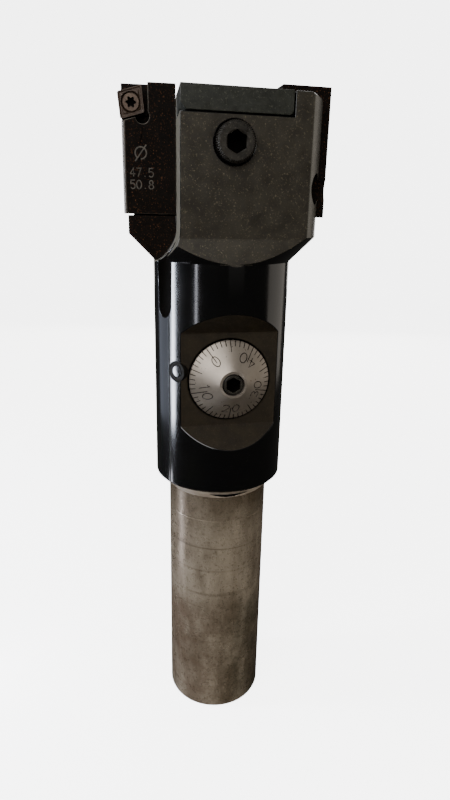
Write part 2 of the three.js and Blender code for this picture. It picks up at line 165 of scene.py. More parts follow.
def spot(axis: Axis, along: float, across: Point) -> Vector:
    """A point in metres from its place along an axis and the other two, in x, y, z order.

    Args:
        axis: The axis.
        along: Place along it in millimetres.
        across: Places along the other two.

    Returns:
        The point.
    """
    values = list(across)
    values.insert("XYZ".index(axis.value), along)
    return Vector(values) * MM


def drawn(
    name: str, outline: Sequence[Point], steps: Sequence[Point], axis: Axis, centre: Point = (0, 0)
) -> Piece:
    """Draws an outline out along an axis and resizes it at each step.

    Args:
        name: The piece's name.
        outline: Corners in millimetres, in the other two axes in x, y, z order.
        steps: Place along the axis in millimetres and size of the outline, from one end to the other.
        axis: Axis that the solid runs along.
        centre: Point that the outline shrinks towards, in the same two axes.

    Returns:
        The closed solid.
    """
    bpy.ops.object.select_all(action="DESELECT")
    bpy.ops.mesh.primitive_circle_add(vertices=len(outline), radius=MM, fill_type="NGON")
    piece = bpy.context.object
    piece.name = name
    low, size = steps[0]
    for vertex, corner in zip(piece.data.vertices, outline, strict=True):
        from_centre = [middle + (value - middle) * size for value, middle in zip(corner, centre)]
        vertex.co = spot(axis, low, from_centre)
    bpy.ops.object.mode_set(mode="EDIT")
    bpy.ops.mesh.select_all(action="SELECT")
    for high, next_size in steps[1:]:
        bpy.ops.mesh.extrude_region_move(TRANSFORM_OT_translate={"value": spot(axis, high - low, (0, 0))})
        ratio = [1 if axis.value == letter else next_size / size for letter in "XYZ"]
        bpy.ops.transform.resize(value=ratio, center_override=spot(axis, high, centre))
        low, size = high, next_size
    bpy.ops.object.mode_set(mode="OBJECT")
    close_up(piece)
    return piece


def pushed(name: str, outline: Sequence[Point], low: float, high: float, axis: Axis) -> Piece:
    """Draws an outline out along an axis, at one size, from low to high in millimetres."""
    return drawn(name, outline, [(low, 1), (high, 1)], axis)


def block(name: str, low: Point, high: Point) -> Piece:
    """A plain block between two corners, used as a cutter."""
    (x0, y0, z0), (x1, y1, z1) = low, high
    return pushed(name, [(x0, y0), (x1, y0), (x1, y1), (x0, y1)], z0, z1, Axis.Z)


def copied(piece: Piece, name: str, place: Matrix) -> Piece:
    """A copy with its own mesh, moved by a matrix.

    Args:
        piece: The piece to copy.
        name: The copy's name.
        place: Matrix in metres.

    Returns:
        The copy.
    """
    pick(piece)
    bpy.ops.object.duplicate(linked=False)
    twin = bpy.context.object
    twin.name = name
    return settle(twin, place)


def half_turn(piece: Piece, name: str) -> Piece:
    """The same piece on the other side of the tool axis."""
    return copied(piece, name, Matrix.Rotation(math.pi, 4, "Z"))


def cut(piece: Piece, cutters: Sequence[Piece], operation: str = "DIFFERENCE") -> Piece:
    """Takes the cutters out of a piece, or joins them to it, and deletes them.

    Args:
        piece: The piece to cut.
        cutters: Closed solids, whose materials stay on the faces that they leave.
        operation: "DIFFERENCE" to cut, "UNION" to join.

    Returns:
        The same piece.
    """
    group = bpy.data.collections.new("cutters")
    bpy.context.scene.collection.children.link(group)
    for cutter in cutters:
        group.objects.link(cutter)
    pick(piece)
    bpy.ops.object.modifier_add(type="BOOLEAN")
    modifier = piece.modifiers[-1]
    modifier.operation = operation
    modifier.operand_type = "COLLECTION"
    modifier.collection = group
    modifier.solver = "EXACT"
    modifier.material_mode = "TRANSFER"
    bpy.ops.object.modifier_apply(modifier=modifier.name)
    for cutter in cutters:
        bpy.data.objects.remove(cutter)
    bpy.data.collections.remove(group)
    return piece


def engrave(piece: Piece, marks: Sequence[Piece], ink: Material) -> Piece:
    """Cuts marks into a piece and fills them with a dark finish: the engraver's filling in marks, painted
    shade in sockets.

    Args:
        piece: The piece to mark.
        marks: Closed solids of the marks.
        ink: Finish left in them: the engraver's filling of marks, painted shade in sockets.

    Returns:
        The same piece.
    """
    for mark in marks:
        paint(mark, ink)
    return cut(piece, marks)


def oval(centre: Point, radii: Point, start: float, end: float, steps: int = 20) -> list[Point]:
    """Points along an ellipse, from one angle in degrees to another."""
    angles = [math.radians(start + (end - start) * i / steps) for i in range(steps + 1)]
    return [(centre[0] + radii[0] * math.cos(a), centre[1] + radii[1] * math.sin(a)) for a in angles]


def strokes(digit: str) -> list[list[Point]]:
    """Pen strokes of a digit, one unit high and centred on the origin.

    Args:
        digit: A digit, a full stop or the diameter sign.

    Returns:
        Points along each stroke.
    """
    return {
        "0": [oval((0, 0), (0.3, 0.5), start, start + 184) for start in (-92, 88)],
        "1": [[(-0.12, 0.3), (0.04, 0.5), (0.04, -0.5)]],
        "2": [[*oval((0, 0.2), (0.28, 0.3), 165, -25, 16), (-0.3, -0.5), (0.32, -0.5)]],
        "3": [oval((0, 0.24), (0.25, 0.26), 140, -90, 16), oval((0, -0.24), (0.29, 0.26), 90, -145, 16)],
        "4": [[(0.12, -0.5), (0.12, 0.5), (-0.3, -0.18)], [(-0.3, -0.18), (0.32, -0.18)]],
        "5": [[(0.26, 0.5), (-0.22, 0.5), (-0.26, 0.08), *oval((0, -0.18), (0.28, 0.32), 125, -150, 18)]],
        "7": [[(-0.28, 0.5), (0.28, 0.5), (-0.1, -0.5)]],
        "8": [
            *(oval((0, 0.25), (0.22, 0.25), start, start + 188) for start in (-94, 86)),
            *(oval((0, -0.24), (0.28, 0.26), start, start + 188) for start in (-94, 86)),
        ],
        ".": [[(-0.06, -0.44), (0.06, -0.44)]],
        "\u00f8": [
            *(oval((0, 0), (0.36, 0.36), start, start + 184) for start in (-92, 88)),
            [(-0.36, -0.5), (0.36, 0.5)],
        ],
    }[digit]


def pen_line(points: Sequence[Point], width: float, depth: float) -> Piece:
    """A line of even width that cuts both ways from the plane it is drawn on.

    Args:
        points: Points along the line in millimetres, in x and y.
        width: Width of the line in millimetres.
        depth: Half of its thickness in millimetres.

    Returns:
        The closed solid.
    """
    sides = ([], [])
    for i, point in enumerate(points):
        here = Vector(point)
        before = (here - Vector(points[i - 1])).normalized() if i else None
        after = (Vector(points[i + 1]) - here).normalized() if i + 1 < len(points) else None
        along = ((before or after) + (after or before)).normalized()
        across = Vector((-along.y, along.x)) * width / 2
        if before and after:
            across /= max(0.5, along.dot(after))
        sides[0].append(tuple(here + across))
        sides[1].append(tuple(here - across))
    return pushed("pen_line", [*sides[0], *reversed(sides[1])], -depth, depth, Axis.Z)


def number(text: str, height: float, step: float, pen: tuple[float, float], place: Matrix) -> list[Piece]:
    """Cutters of a number written on a surface.

    Args:
        text: The digits.
        height: Height of a digit in millimetres.
        step: Distance between digits in millimetres.
        pen: Width and depth of the cut in millimetres.
        place: Matrix to the surface, x along the line of text and z out of the surface.

    Returns:
        One solid for each stroke.
    """
    lines = []
    for i, digit in enumerate(text):
        shift = (i - (len(text) - 1) / 2) * step
        for stroke in strokes(digit):
            points = [(shift + x * height, y * height) for x, y in stroke]
            lines.append(settle(pen_line(points, *pen), place))
    return lines


def break_edges(piece: Piece, width: float, segments: int = 2, angle: float = 35) -> Piece:
    """Rounds every edge sharper than an angle, as a deburring wheel does, and smooths the shading.

    Args:
        piece: The piece to finish.
        width: Width of the rounding in millimetres.
        segments: Facets across it.
        angle: Smallest angle in degrees between two faces that is rounded.

    Returns:
        The same piece.
    """
    pick(piece)
    bpy.ops.object.modifier_add(type="BEVEL")
    modifier = piece.modifiers[-1]
    modifier.width = width * MM
    modifier.segments = segments
    modifier.limit_method = "ANGLE"
    modifier.angle_limit = math.radians(angle)
    modifier.use_clamp_overlap = False
    modifier.miter_outer = "MITER_ARC"
    modifier.harden_normals = False
    bpy.ops.object.modifier_apply(modifier=modifier.name)
    return smoothed(piece)


def smoothed(piece: Piece, angle: float = 30) -> Piece:
    """Smooth shading over edges blunter than an angle in degrees, with large faces kept flat.

    Args:
        piece: The piece to shade.
        angle: Largest angle in degrees that is smoothed over.

    Returns:
        The same piece.
    """
    pick(piece)
    bpy.ops.object.shade_smooth_by_angle(angle=math.radians(angle))
    bpy.ops.object.modifier_add(type="WEIGHTED_NORMAL")
    modifier = piece.modifiers[-1]
    modifier.keep_sharp = True
    bpy.ops.object.modifier_apply(modifier=modifier.name)
    return piece


def hexagon(across_flats: float, centre: Point = (0, 0)) -> list[Point]:
    """Corners of a hexagon that stands on a point.

    Args:
        across_flats: Width across the flats in millimetres.
        centre: Its middle.

    Returns:
        The six corners.
    """
    corner = across_flats / math.sqrt(3)
    angles = [math.pi / 2 + step * math.pi / 3 for step in range(6)]
    return [(centre[0] + corner * math.cos(a), centre[1] + corner * math.sin(a)) for a in angles]


# ---- finishes ----------------------------------------------------------------------


def linear(hex_colour: str) -> tuple[float, float, float, float]:
    """An sRGB hex colour as linear values with alpha.

    Args:
        hex_colour: Hash sign and six digits.

    Returns:
        Red, green, blue and alpha.
    """
    parts = [int(hex_colour[i : i + 2], 16) / 255 for i in (1, 3, 5)]
    values = [p / 12.92 if p <= 0.04045 else ((p + 0.055) / 1.055) ** 2.4 for p in parts]
    return (*values, 1.0)


def per_metre(size: float) -> float:
    """Texture scale whose pattern repeats about every size millimetres."""
    return 1 / (size * MM)


def add_node(tree: Tree, kind: str, inputs: dict | None = None, **settings: object) -> bpy.types.Node:
    """Adds a node.

    Args:
        tree: Node tree of the material.
        kind: Class name of the node, without "ShaderNode".
        inputs: Value or output socket for each input, by its name or number.
        **settings: Properties of the node.

    Returns:
        The new node.
    """
    item = tree.nodes.new("ShaderNode" + kind)
    for key, value in settings.items():
        setattr(item, key, value)
    for key, value in (inputs or {}).items():
        if isinstance(value, Socket):
            tree.links.new(value, item.inputs[key])
        else:
            item.inputs[key].default_value = value
    return item


@dataclass(frozen=True)
class Finish:
    """A plain metal or oxide finish with fine mottling, grain and dust specks.

    Attributes:
        name: Name of the material.
        colour: Main colour.
        second: Colour of the mottled patches.
        roughness: Main roughness.
        rough_spread: How much the roughness varies.
        metallic: 1 for bare metal, lower for oxide.
        patch: Size of the patches in millimetres.
        grain: Size of the surface grain in millimetres.
        bump: Depth of the grain in millimetres.
        specks: Colour of small light specks, or None.
        ior: Index of refraction of the sealed surface.
    """

    name: str
    colour: str
    second: str
    roughness: float
    rough_spread: float = 0.1
    metallic: float = 1.0
    patch: float = 6.0
    grain: float = 0.25
    bump: float = 0.01
    specks: str | None = None
    ior: float = 1.5

    def dress(self) -> Material:
        """Builds the material.

        Returns:
            The material.
        """
        material = bpy.data.materials.new(self.name)
        material.use_nodes = True
        tree = material.node_tree
        tree.nodes.clear()
        place = add_node(tree, "TexCoord").outputs["Object"]
        shader = add_node(tree, "BsdfPrincipled", {"Metallic": self.metallic, "IOR": self.ior})
        output = add_node(tree, "OutputMaterial")
        tree.links.new(shader.outputs[0], output.inputs[0])
        colour, rough = self.pattern(tree, place)
        if self.specks:
            colour = self.speckle(tree, place, colour)
        tree.links.new(colour, shader.inputs["Base Color"])
        tree.links.new(rough, shader.inputs["Roughness"])
        tree.links.new(self.relief(tree, place), shader.inputs["Normal"])
        return material

    def pattern(self, tree: Tree, place: Socket) -> tuple:
        """Mottled colour and roughness, as two output sockets.

        Args:
            tree: Node tree of the material.
            place: Socket that gives the Object coordinates.

        Returns:
            Sockets of the colour and of the roughness.
        """
        patches = add_node(tree, "TexNoise", {
            "Vector": place, "Scale": per_metre(self.patch), "Detail": 6.0, "Roughness": 0.6,
        })
        share = add_node(tree, "MapRange", {
            "Value": patches.outputs[0], "From Min": 0.35, "From Max": 0.65,
        })
        mixed = add_node(tree, "Mix", {
            0: share.outputs[0], 6: linear(self.colour), 7: linear(self.second),
        }, data_type="RGBA")
        fine = add_node(tree, "TexNoise", {
            "Vector": place, "Scale": per_metre(self.grain * 4), "Detail": 4.0,
        })
        low, high = self.roughness - self.rough_spread, self.roughness + self.rough_spread
        rough = add_node(tree, "MapRange", {
            "Value": fine.outputs[0], "From Min": 0.3, "From Max": 0.7, "To Min": low, "To Max": high,
        })
        return mixed.outputs[2], rough.outputs[0]

    def speckle(self, tree: Tree, place: Socket, colour: Socket) -> Socket:
        """Small light specks of dust and rubbed grain over a colour.

        Args:
            tree: Node tree of the material.
            place: Socket that gives the Object coordinates.
            colour: Socket of the colour below the specks.

        Returns:
            Socket of the speckled colour.
        """
        cells = add_node(tree, "TexNoise", {
            "Vector": place, "Scale": per_metre(SPECK), "Detail": 2.0, "Roughness": 0.7,
        })
        share = add_node(tree, "MapRange", {"Value": cells.outputs[0], "From Min": 0.6, "From Max": 0.78})
        mixed = add_node(tree, "Mix", {
            0: share.outputs[0], 6: colour, 7: linear(self.specks),
        }, data_type="RGBA")
        return mixed.outputs[2]

    def relief(self, tree: Tree, place: Socket) -> Socket:
        """Fine grain in the surface.

        Args:
            tree: Node tree of the material.
            place: Socket that gives the Object coordinates.

        Returns:
            Socket of the normal.
        """
        grain = add_node(tree, "TexNoise", {"Vector": place, "Scale": per_metre(self.grain), "Detail": 3.0})
        bump = add_node(tree, "Bump", {
            "Height": grain.outputs[0], "Distance": self.bump * MM, "Strength": 1.0,
        })
        return bump.outputs[0]


@dataclass(frozen=True)
class GroundShank(Finish):
    """Cylindrically ground steel, browned by handling and rust, with fine rings left by the wheel.

    Attributes:
        stain: Colour of pits, scored rings and the rust below the cone.
        rust: Colour of the grime on the left.
        oil: Colour of the grime on the right.
        rings: Spacing of the grinding rings in millimetres.
        grime_heights: Heights in millimetres over which the grime grows to its full strength.
        rust_heights: Heights in millimetres over which the rust below the cone grows.
    """

    stain: str = "#3f3220"
    rust: str = "#54402f"
    oil: str = "#34301f"
    rings: float = 0.12
    grime_heights: Point = (46.0, 30.0)
    rust_heights: Point = (54.0, 63.5)

    def pattern(self, tree: Tree, place: Socket) -> tuple:
        """Rings, streaks and brown stains, as colour and roughness sockets.

        Args:
            tree: Node tree of the material.
            place: Socket that gives the Object coordinates.

        Returns:
            Sockets of the colour and of the roughness.
        """
        squash = add_node(tree, "Mapping", {"Vector": place, "Scale": (1.0, 1.0, 0.35)})
        streaks = add_node(tree, "TexNoise", {
            "Vector": squash.outputs[0], "Scale": per_metre(7.0), "Detail": 8.0, "Roughness": 0.65,
        })
        share = add_node(tree, "MapRange", {
            "Value": streaks.outputs[0], "From Min": 0.38, "From Max": 0.62,
        })
        base = add_node(tree, "Mix", {
            0: share.outputs[0], 6: linear(self.colour), 7: linear(self.second),
        }, data_type="RGBA")
        pits = add_node(tree, "TexNoise", {
            "Vector": place, "Scale": per_metre(1.6), "Detail": 9.0, "Roughness": 0.75,
        })
        rusty = add_node(tree, "MapRange", {"Value": pits.outputs[0], "From Min": 0.54, "From Max": 0.72})
        colour = add_node(tree, "Mix", {
            0: rusty.outputs[0], 6: base.outputs[2], 7: linear(self.stain),
        }, data_type="RGBA")
        across = add_node(tree, "SeparateXYZ", {"Vector": place})
        side = add_node(tree, "MapRange", {
            "Value": across.outputs["X"], "From Min": -0.005, "From Max": 0.004,
        })
        grime = add_node(tree, "Mix", {
            0: side.outputs[0], 6: linear(self.rust), 7: linear(self.oil),
        }, data_type="RGBA")
        cloud = add_node(tree, "TexNoise", {
            "Vector": place, "Scale": per_metre(8.0), "Detail": 12.0, "Roughness": 0.8,
        })
        high, low = (height * MM for height in self.grime_heights)
        held = {
            "Value": across.outputs["Z"],
            "From Min": high, "From Max": low, "To Min": -0.2, "To Max": 0.12,
        }
        reach = add_node(tree, "Math", {
            0: cloud.outputs[0], 1: add_node(tree, "MapRange", held).outputs[0],
        })
        worn = add_node(tree, "MapRange", {
            "Value": reach.outputs[0], "From Min": 0.5, "From Max": 0.68, "To Max": 0.62,
        })
        colour = add_node(tree, "Mix", {
            0: worn.outputs[0], 6: colour.outputs[2], 7: grime.outputs[2],
        }, data_type="RGBA")
        flat = add_node(tree, "Mapping", {"Vector": place, "Scale": (0.02, 0.02, 1.0)})
        turns = add_node(tree, "TexNoise", {
            "Vector": flat.outputs[0], "Scale": per_metre(1.4), "Detail": 5.0,
        })
        line = add_node(tree, "MapRange", {
            "Value": turns.outputs[0], "From Min": 0.6, "From Max": 0.72, "To Max": 0.55,
        })
        low, high = (height * MM for height in self.rust_heights)
        foot = {"Value": across.outputs["Z"], "From Min": low, "From Max": high, "To Max": 1.25}
        flecks = {0: add_node(tree, "MapRange", foot).outputs[0], 1: pits.outputs[0]}
        speckled = add_node(tree, "Math", flecks, operation="MULTIPLY")
        band = add_node(tree, "Math", {0: line.outputs[0], 1: speckled.outputs[0]}, operation="MAXIMUM")
        ringed = add_node(tree, "Mix", {
            0: band.outputs[0], 6: colour.outputs[2], 7: linear(self.stain),
        }, data_type="RGBA")
        low, high = self.roughness - self.rough_spread, self.roughness + self.rough_spread
        rough = add_node(tree, "MapRange", {
            "Value": pits.outputs[0], "From Min": 0.35, "From Max": 0.65, "To Min": low, "To Max": high,
        })
        return ringed.outputs[2], rough.outputs[0]

    def relief(self, tree: Tree, place: Socket) -> Socket:
        """Grinding rings round the bar.

        Args:
            tree: Node tree of the material.
            place: Socket that gives the Object coordinates.

        Returns:
            Socket of the normal.
        """
        stretch = add_node(tree, "Mapping", {"Vector": place, "Scale": (0.04, 0.04, 1.0)})
        rings = add_node(tree, "TexNoise", {
            "Vector": stretch.outputs[0], "Scale": per_metre(self.rings), "Detail": 2.0,
        })
        bump = add_node(tree, "Bump", {
            "Height": rings.outputs[0], "Distance": self.bump * MM, "Strength": 1.0,
        })
        return bump.outputs[0]


@dataclass(frozen=True)
class TurnedFace(Finish):
    """A face turned on a lathe, whose fine rings about the spindle spread the light into rays.

    Attributes:
        centre: Point of the spindle axis in millimetres.
        ring: Spacing of the rings in millimetres.
        spread: How much the rings draw a highlight out.
    """

    centre: Point = (0.0, 0.0, 95.64)
    ring: float = 0.14
    spread: float = 0.9

    def dress(self) -> Material:
        """Builds the material, with the highlight spread across the turning rings.

        Returns:
            The material.
        """
        material = super().dress()
        tree = material.node_tree
        shader = tree.nodes["Principled BSDF"]
        shader.inputs["Anisotropic"].default_value = self.spread
        around = add_node(tree, "Tangent", direction_type="RADIAL", axis="Y")
        tree.links.new(around.outputs[0], shader.inputs["Tangent"])
        return material

    def relief(self, tree: Tree, place: Socket) -> Socket:
        """Rings about the spindle axis, which runs along Y.

        Args:
            tree: Node tree of the material.
            place: Socket that gives the Object coordinates.

        Returns:
            Socket of the normal.
        """
        centre = add_node(tree, "Mapping", {
            "Vector": place, "Location": (0, 0, -self.centre[2] * MM), "Scale": (1, 0, 1),
        })
        radius = add_node(tree, "VectorMath", {0: centre.outputs[0]}, operation="LENGTH")
        waves = add_node(tree, "TexNoise", {
            "W": radius.outputs["Value"], "Scale": per_metre(self.ring), "Detail": 3.0,
        }, noise_dimensions="1D")
        bump = add_node(tree, "Bump", {
            "Height": waves.outputs[0], "Distance": self.bump * MM, "Strength": 1.0,
        })
        return bump.outputs[0]


class Shop:
    """Every finish of the tool, made once."""

    def __init__(self) -> None:
        """Builds the materials."""
        # Hot-blacked steel, oiled: near black, with sharp narrow streaks where it mirrors a window.
        self.gloss = Finish(
            "gloss_black_oxide", "#040405", "#060605", roughness=0.15, rough_spread=0.03, metallic=0.0,
            patch=14.0, grain=2.5, bump=0.0004, ior=1.7,
        ).dress()
        # Hot-blacked milled flats, dulled by use: soft warm grey with fine pale specks.
        self.satin = Finish(
            "satin_black_oxide", "#363229", "#26221b", roughness=0.42, rough_spread=0.08, metallic=0.35,
            patch=4.0, grain=0.25, bump=0.012, specks="#716954",
        ).dress()
        # Hot-blacked end-milled pocket: matt brown-black, darker than the flats, that hardly reflects.
        self.pocket = Finish(
            "pocket_oxide", "#1c1710", "#241e14", roughness=0.65, rough_spread=0.08, metallic=0.0,
            patch=4.0, grain=0.3, bump=0.015, specks="#3a3326", ior=1.25,
        ).dress()
        # Gullet walls: a pale painted highlight for the light they catch at a grazing angle, with a soft
        # sheen.
        self.worn = Finish(
            "gullet_wall_painted_highlight", "#6e695c", "#7b7668", roughness=0.4, rough_spread=0.08, metallic=0.6,
            patch=5.0, grain=0.2, bump=0.008,
        ).dress()
        # Blacking polished by handling on the outside of the head: silky grey.
        self.strip = Finish(
            "polished_oxide", "#4c4a43", "#57544d", roughness=0.28, rough_spread=0.06, metallic=0.5,
            patch=10.0, grain=0.4, bump=0.005,
        ).dress()
        # Cylindrically ground tool steel, stained: warm grey, ring marks, rust specks, darker lower half.
        self.shank = GroundShank(
            "ground_steel", "#9c907e", "#6f6353", roughness=0.31, rough_spread=0.08, metallic=0.5,
            patch=7.0, grain=0.3, bump=0.003,
        ).dress()
        # Turned bare steel: pale beige band between the blacking and the shank, made paler as a painted
        # reflection of a white table below.
        self.cone = Finish(
            "turned_cone", "#c8bcab", "#aa9c8a", roughness=0.42, rough_spread=0.1, metallic=0.25,
            patch=5.0, grain=0.3, bump=0.002,
        ).dress()
        # Browned cartridge steel: almost black and matt, with orange-brown specks.
        self.brown = Finish(
            "brown_oxide", "#0e0906", "#080503", roughness=0.62, rough_spread=0.08, metallic=0.0,
            patch=3.0, grain=0.35, bump=0.02, specks="#5a3a25", ior=1.15,
        ).dress()
        # Browned steel rubbed at the edges: a thin paler line round each cartridge.
        self.worn_edge = Finish(
            "rubbed_edges", "#2a241d", "#3a332a", roughness=0.4, rough_spread=0.1, metallic=0.5,
            patch=2.0, grain=0.3, bump=0.01,
        ).dress()
        # Electrically etched marks: matt grey, only a little lighter than the face.
        self.etch = Finish(
            "electric_etch", "#4b453b", "#3b362f", roughness=0.7, rough_spread=0.1, metallic=0.0,
            patch=1.0, grain=0.15, bump=0.01,
        ).dress()
        # Blacked and oiled gib bar: dark with a green cast.
        self.bar = Finish(
            "green_black_oxide", "#2c2d27", "#21221d", roughness=0.4, rough_spread=0.08, metallic=0.3,
            patch=3.0, grain=0.25, bump=0.012, specks="#55564a",
        ).dress()
        # Staked soft-steel plug, blacked: a dull dark ring.
        self.plug = Finish(
            "staked_plug", "#15130f", "#0f0d0a", roughness=0.6, rough_spread=0.08, metallic=0.0,
            patch=2.0, grain=0.2, bump=0.006, ior=1.2,
        ).dress()
        # Sintered and coated carbide: even brown-grey with a slight sheen.
        self.carbide = Finish(
            "sintered_carbide", "#33261c", "#3b2c20", roughness=0.45, rough_spread=0.08, metallic=0.3,
            patch=1.5, grain=0.15, bump=0.006, specks="#5a4a3a",
        ).dress()
        # Oxidised alloy screw steel: dark grey with lit rims.
        self.screw = Finish(
            "screw_oxide", "#35322c", "#25231f", roughness=0.36, rough_spread=0.1, metallic=0.4,
            patch=2.0, grain=0.2, bump=0.01, specks="#5d5950",
        ).dress()
        # Small screw tempered in manufacture: brown-grey, brighter than the insert.
        self.tan = Finish(
            "tempered_screw", "#584a3f", "#44372e", roughness=0.38, rough_spread=0.08, metallic=0.7,
            patch=1.0, grain=0.15, bump=0.008,
        ).dress()
        # Face-turned free-cutting steel: fine rings that spread the light into rays.
        self.dial = TurnedFace(
            "turned_steel", "#90877c", "#82796e", roughness=0.3, rough_spread=0.03, metallic=0.62,
            patch=5.0, grain=0.3, bump=0.0005,
        ).dress()
        # Engraver's filling, also painted shade inside sockets, the neck grooves and the crescent notch:
        # matt black.
        self.ink = Finish(
            "engraving_ink_and_painted_shade", "#050403", "#080605", roughness=0.75, rough_spread=0.1, metallic=0.0,
            patch=1.0, grain=0.1, bump=0.002, ior=1.1,
        ).dress()
        # Ground steel of the inner slides and rod: clean and bright.
        self.bright = Finish(
            "bright_steel", "#9a958b", "#857f74", roughness=0.3, rough_spread=0.08, metallic=1.0,
            patch=4.0, grain=0.15, bump=0.006,
        ).dress()
        # Turned bronze of the bushes, nut and pads: brown-gold.
        self.bronze = Finish(
            "turned_bronze", "#9a7440", "#835f33", roughness=0.36, rough_spread=0.08, metallic=1.0,
            patch=3.0, grain=0.15, bump=0.006,
        ).dress()
        # Drawn spring steel: cool grey.
        self.spring = Finish(
            "spring_steel", "#6c6e72", "#55575b", roughness=0.35, rough_spread=0.08, metallic=1.0,
            patch=2.0, grain=0.12, bump=0.004,
        ).dress()


def paint(piece: Piece, material: Material) -> Piece:
    """Gives a new piece one finish all over.

    Args:
        piece: The piece.
        material: Its finish.

    Returns:
        The same piece.
    """
    piece.data.materials.clear()
    piece.data.materials.append(material)
    return piece


def paint_where(piece: Piece, material: Material, test: Callable[[Vector, Vector], bool]) -> None:
    """Gives a finish to the faces whose middle in millimetres and normal pass a test.

    Args:
        piece: The piece.
        material: The finish.
        test: Takes a face's middle in millimetres and its normal.
    """
    piece.data.materials.append(material)
    slot = len(piece.data.materials) - 1
    for face in piece.data.polygons:
        if test(face.center / MM, face.normal):
            face.material_index = slot


def fit(piece: Piece, node: str, body: str) -> Piece:
    """Puts a finished piece on a body in its CAD node's place, and hides the node.

    Args:
        piece: The finished piece.
        node: CAD node that it stands for.
        body: Body that it rides on.

    Returns:
        The same piece.
    """
    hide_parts(node)
    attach(piece, body)
    LOG.info("%s stands for %s on %s", piece.name, node, body)
    return piece


# ---- tool ----------------------------------------------------------------------


@dataclass
class Gullet:
    """The chip gullet's own axes, which lean at the rake angle from its inner corner."""

    corner_x: float = -10.95
    corner_y: float = -1.5
    rake: float = 4.3
    floor: float = 121.5
    radius: float = 8.0

    def place(self) -> Matrix:
        """Matrix from the gullet's own axes to the tool's."""
        corner = Vector((self.corner_x, self.corner_y, 0)) * MM
        return Matrix.Translation(corner) @ Matrix.Rotation(-math.radians(self.rake), 4, "Z")

    def cutter(self, top: float) -> Piece:
        """Solid that clears the gullet, with the end mill's radius at its foot.

        Args:
            top: Height in millimetres that the cut runs out at.

        Returns:
            The closed solid.
        """
        centre = (-self.radius, self.floor + self.radius)
        foot = oval(centre, (self.radius, self.radius), 0, -90, 24)
        outline = [(0, top), *foot, (-18, self.floor), (-18, top)]
        return settle(pushed("gullet", outline, -25, 0, Axis.Y), self.place())


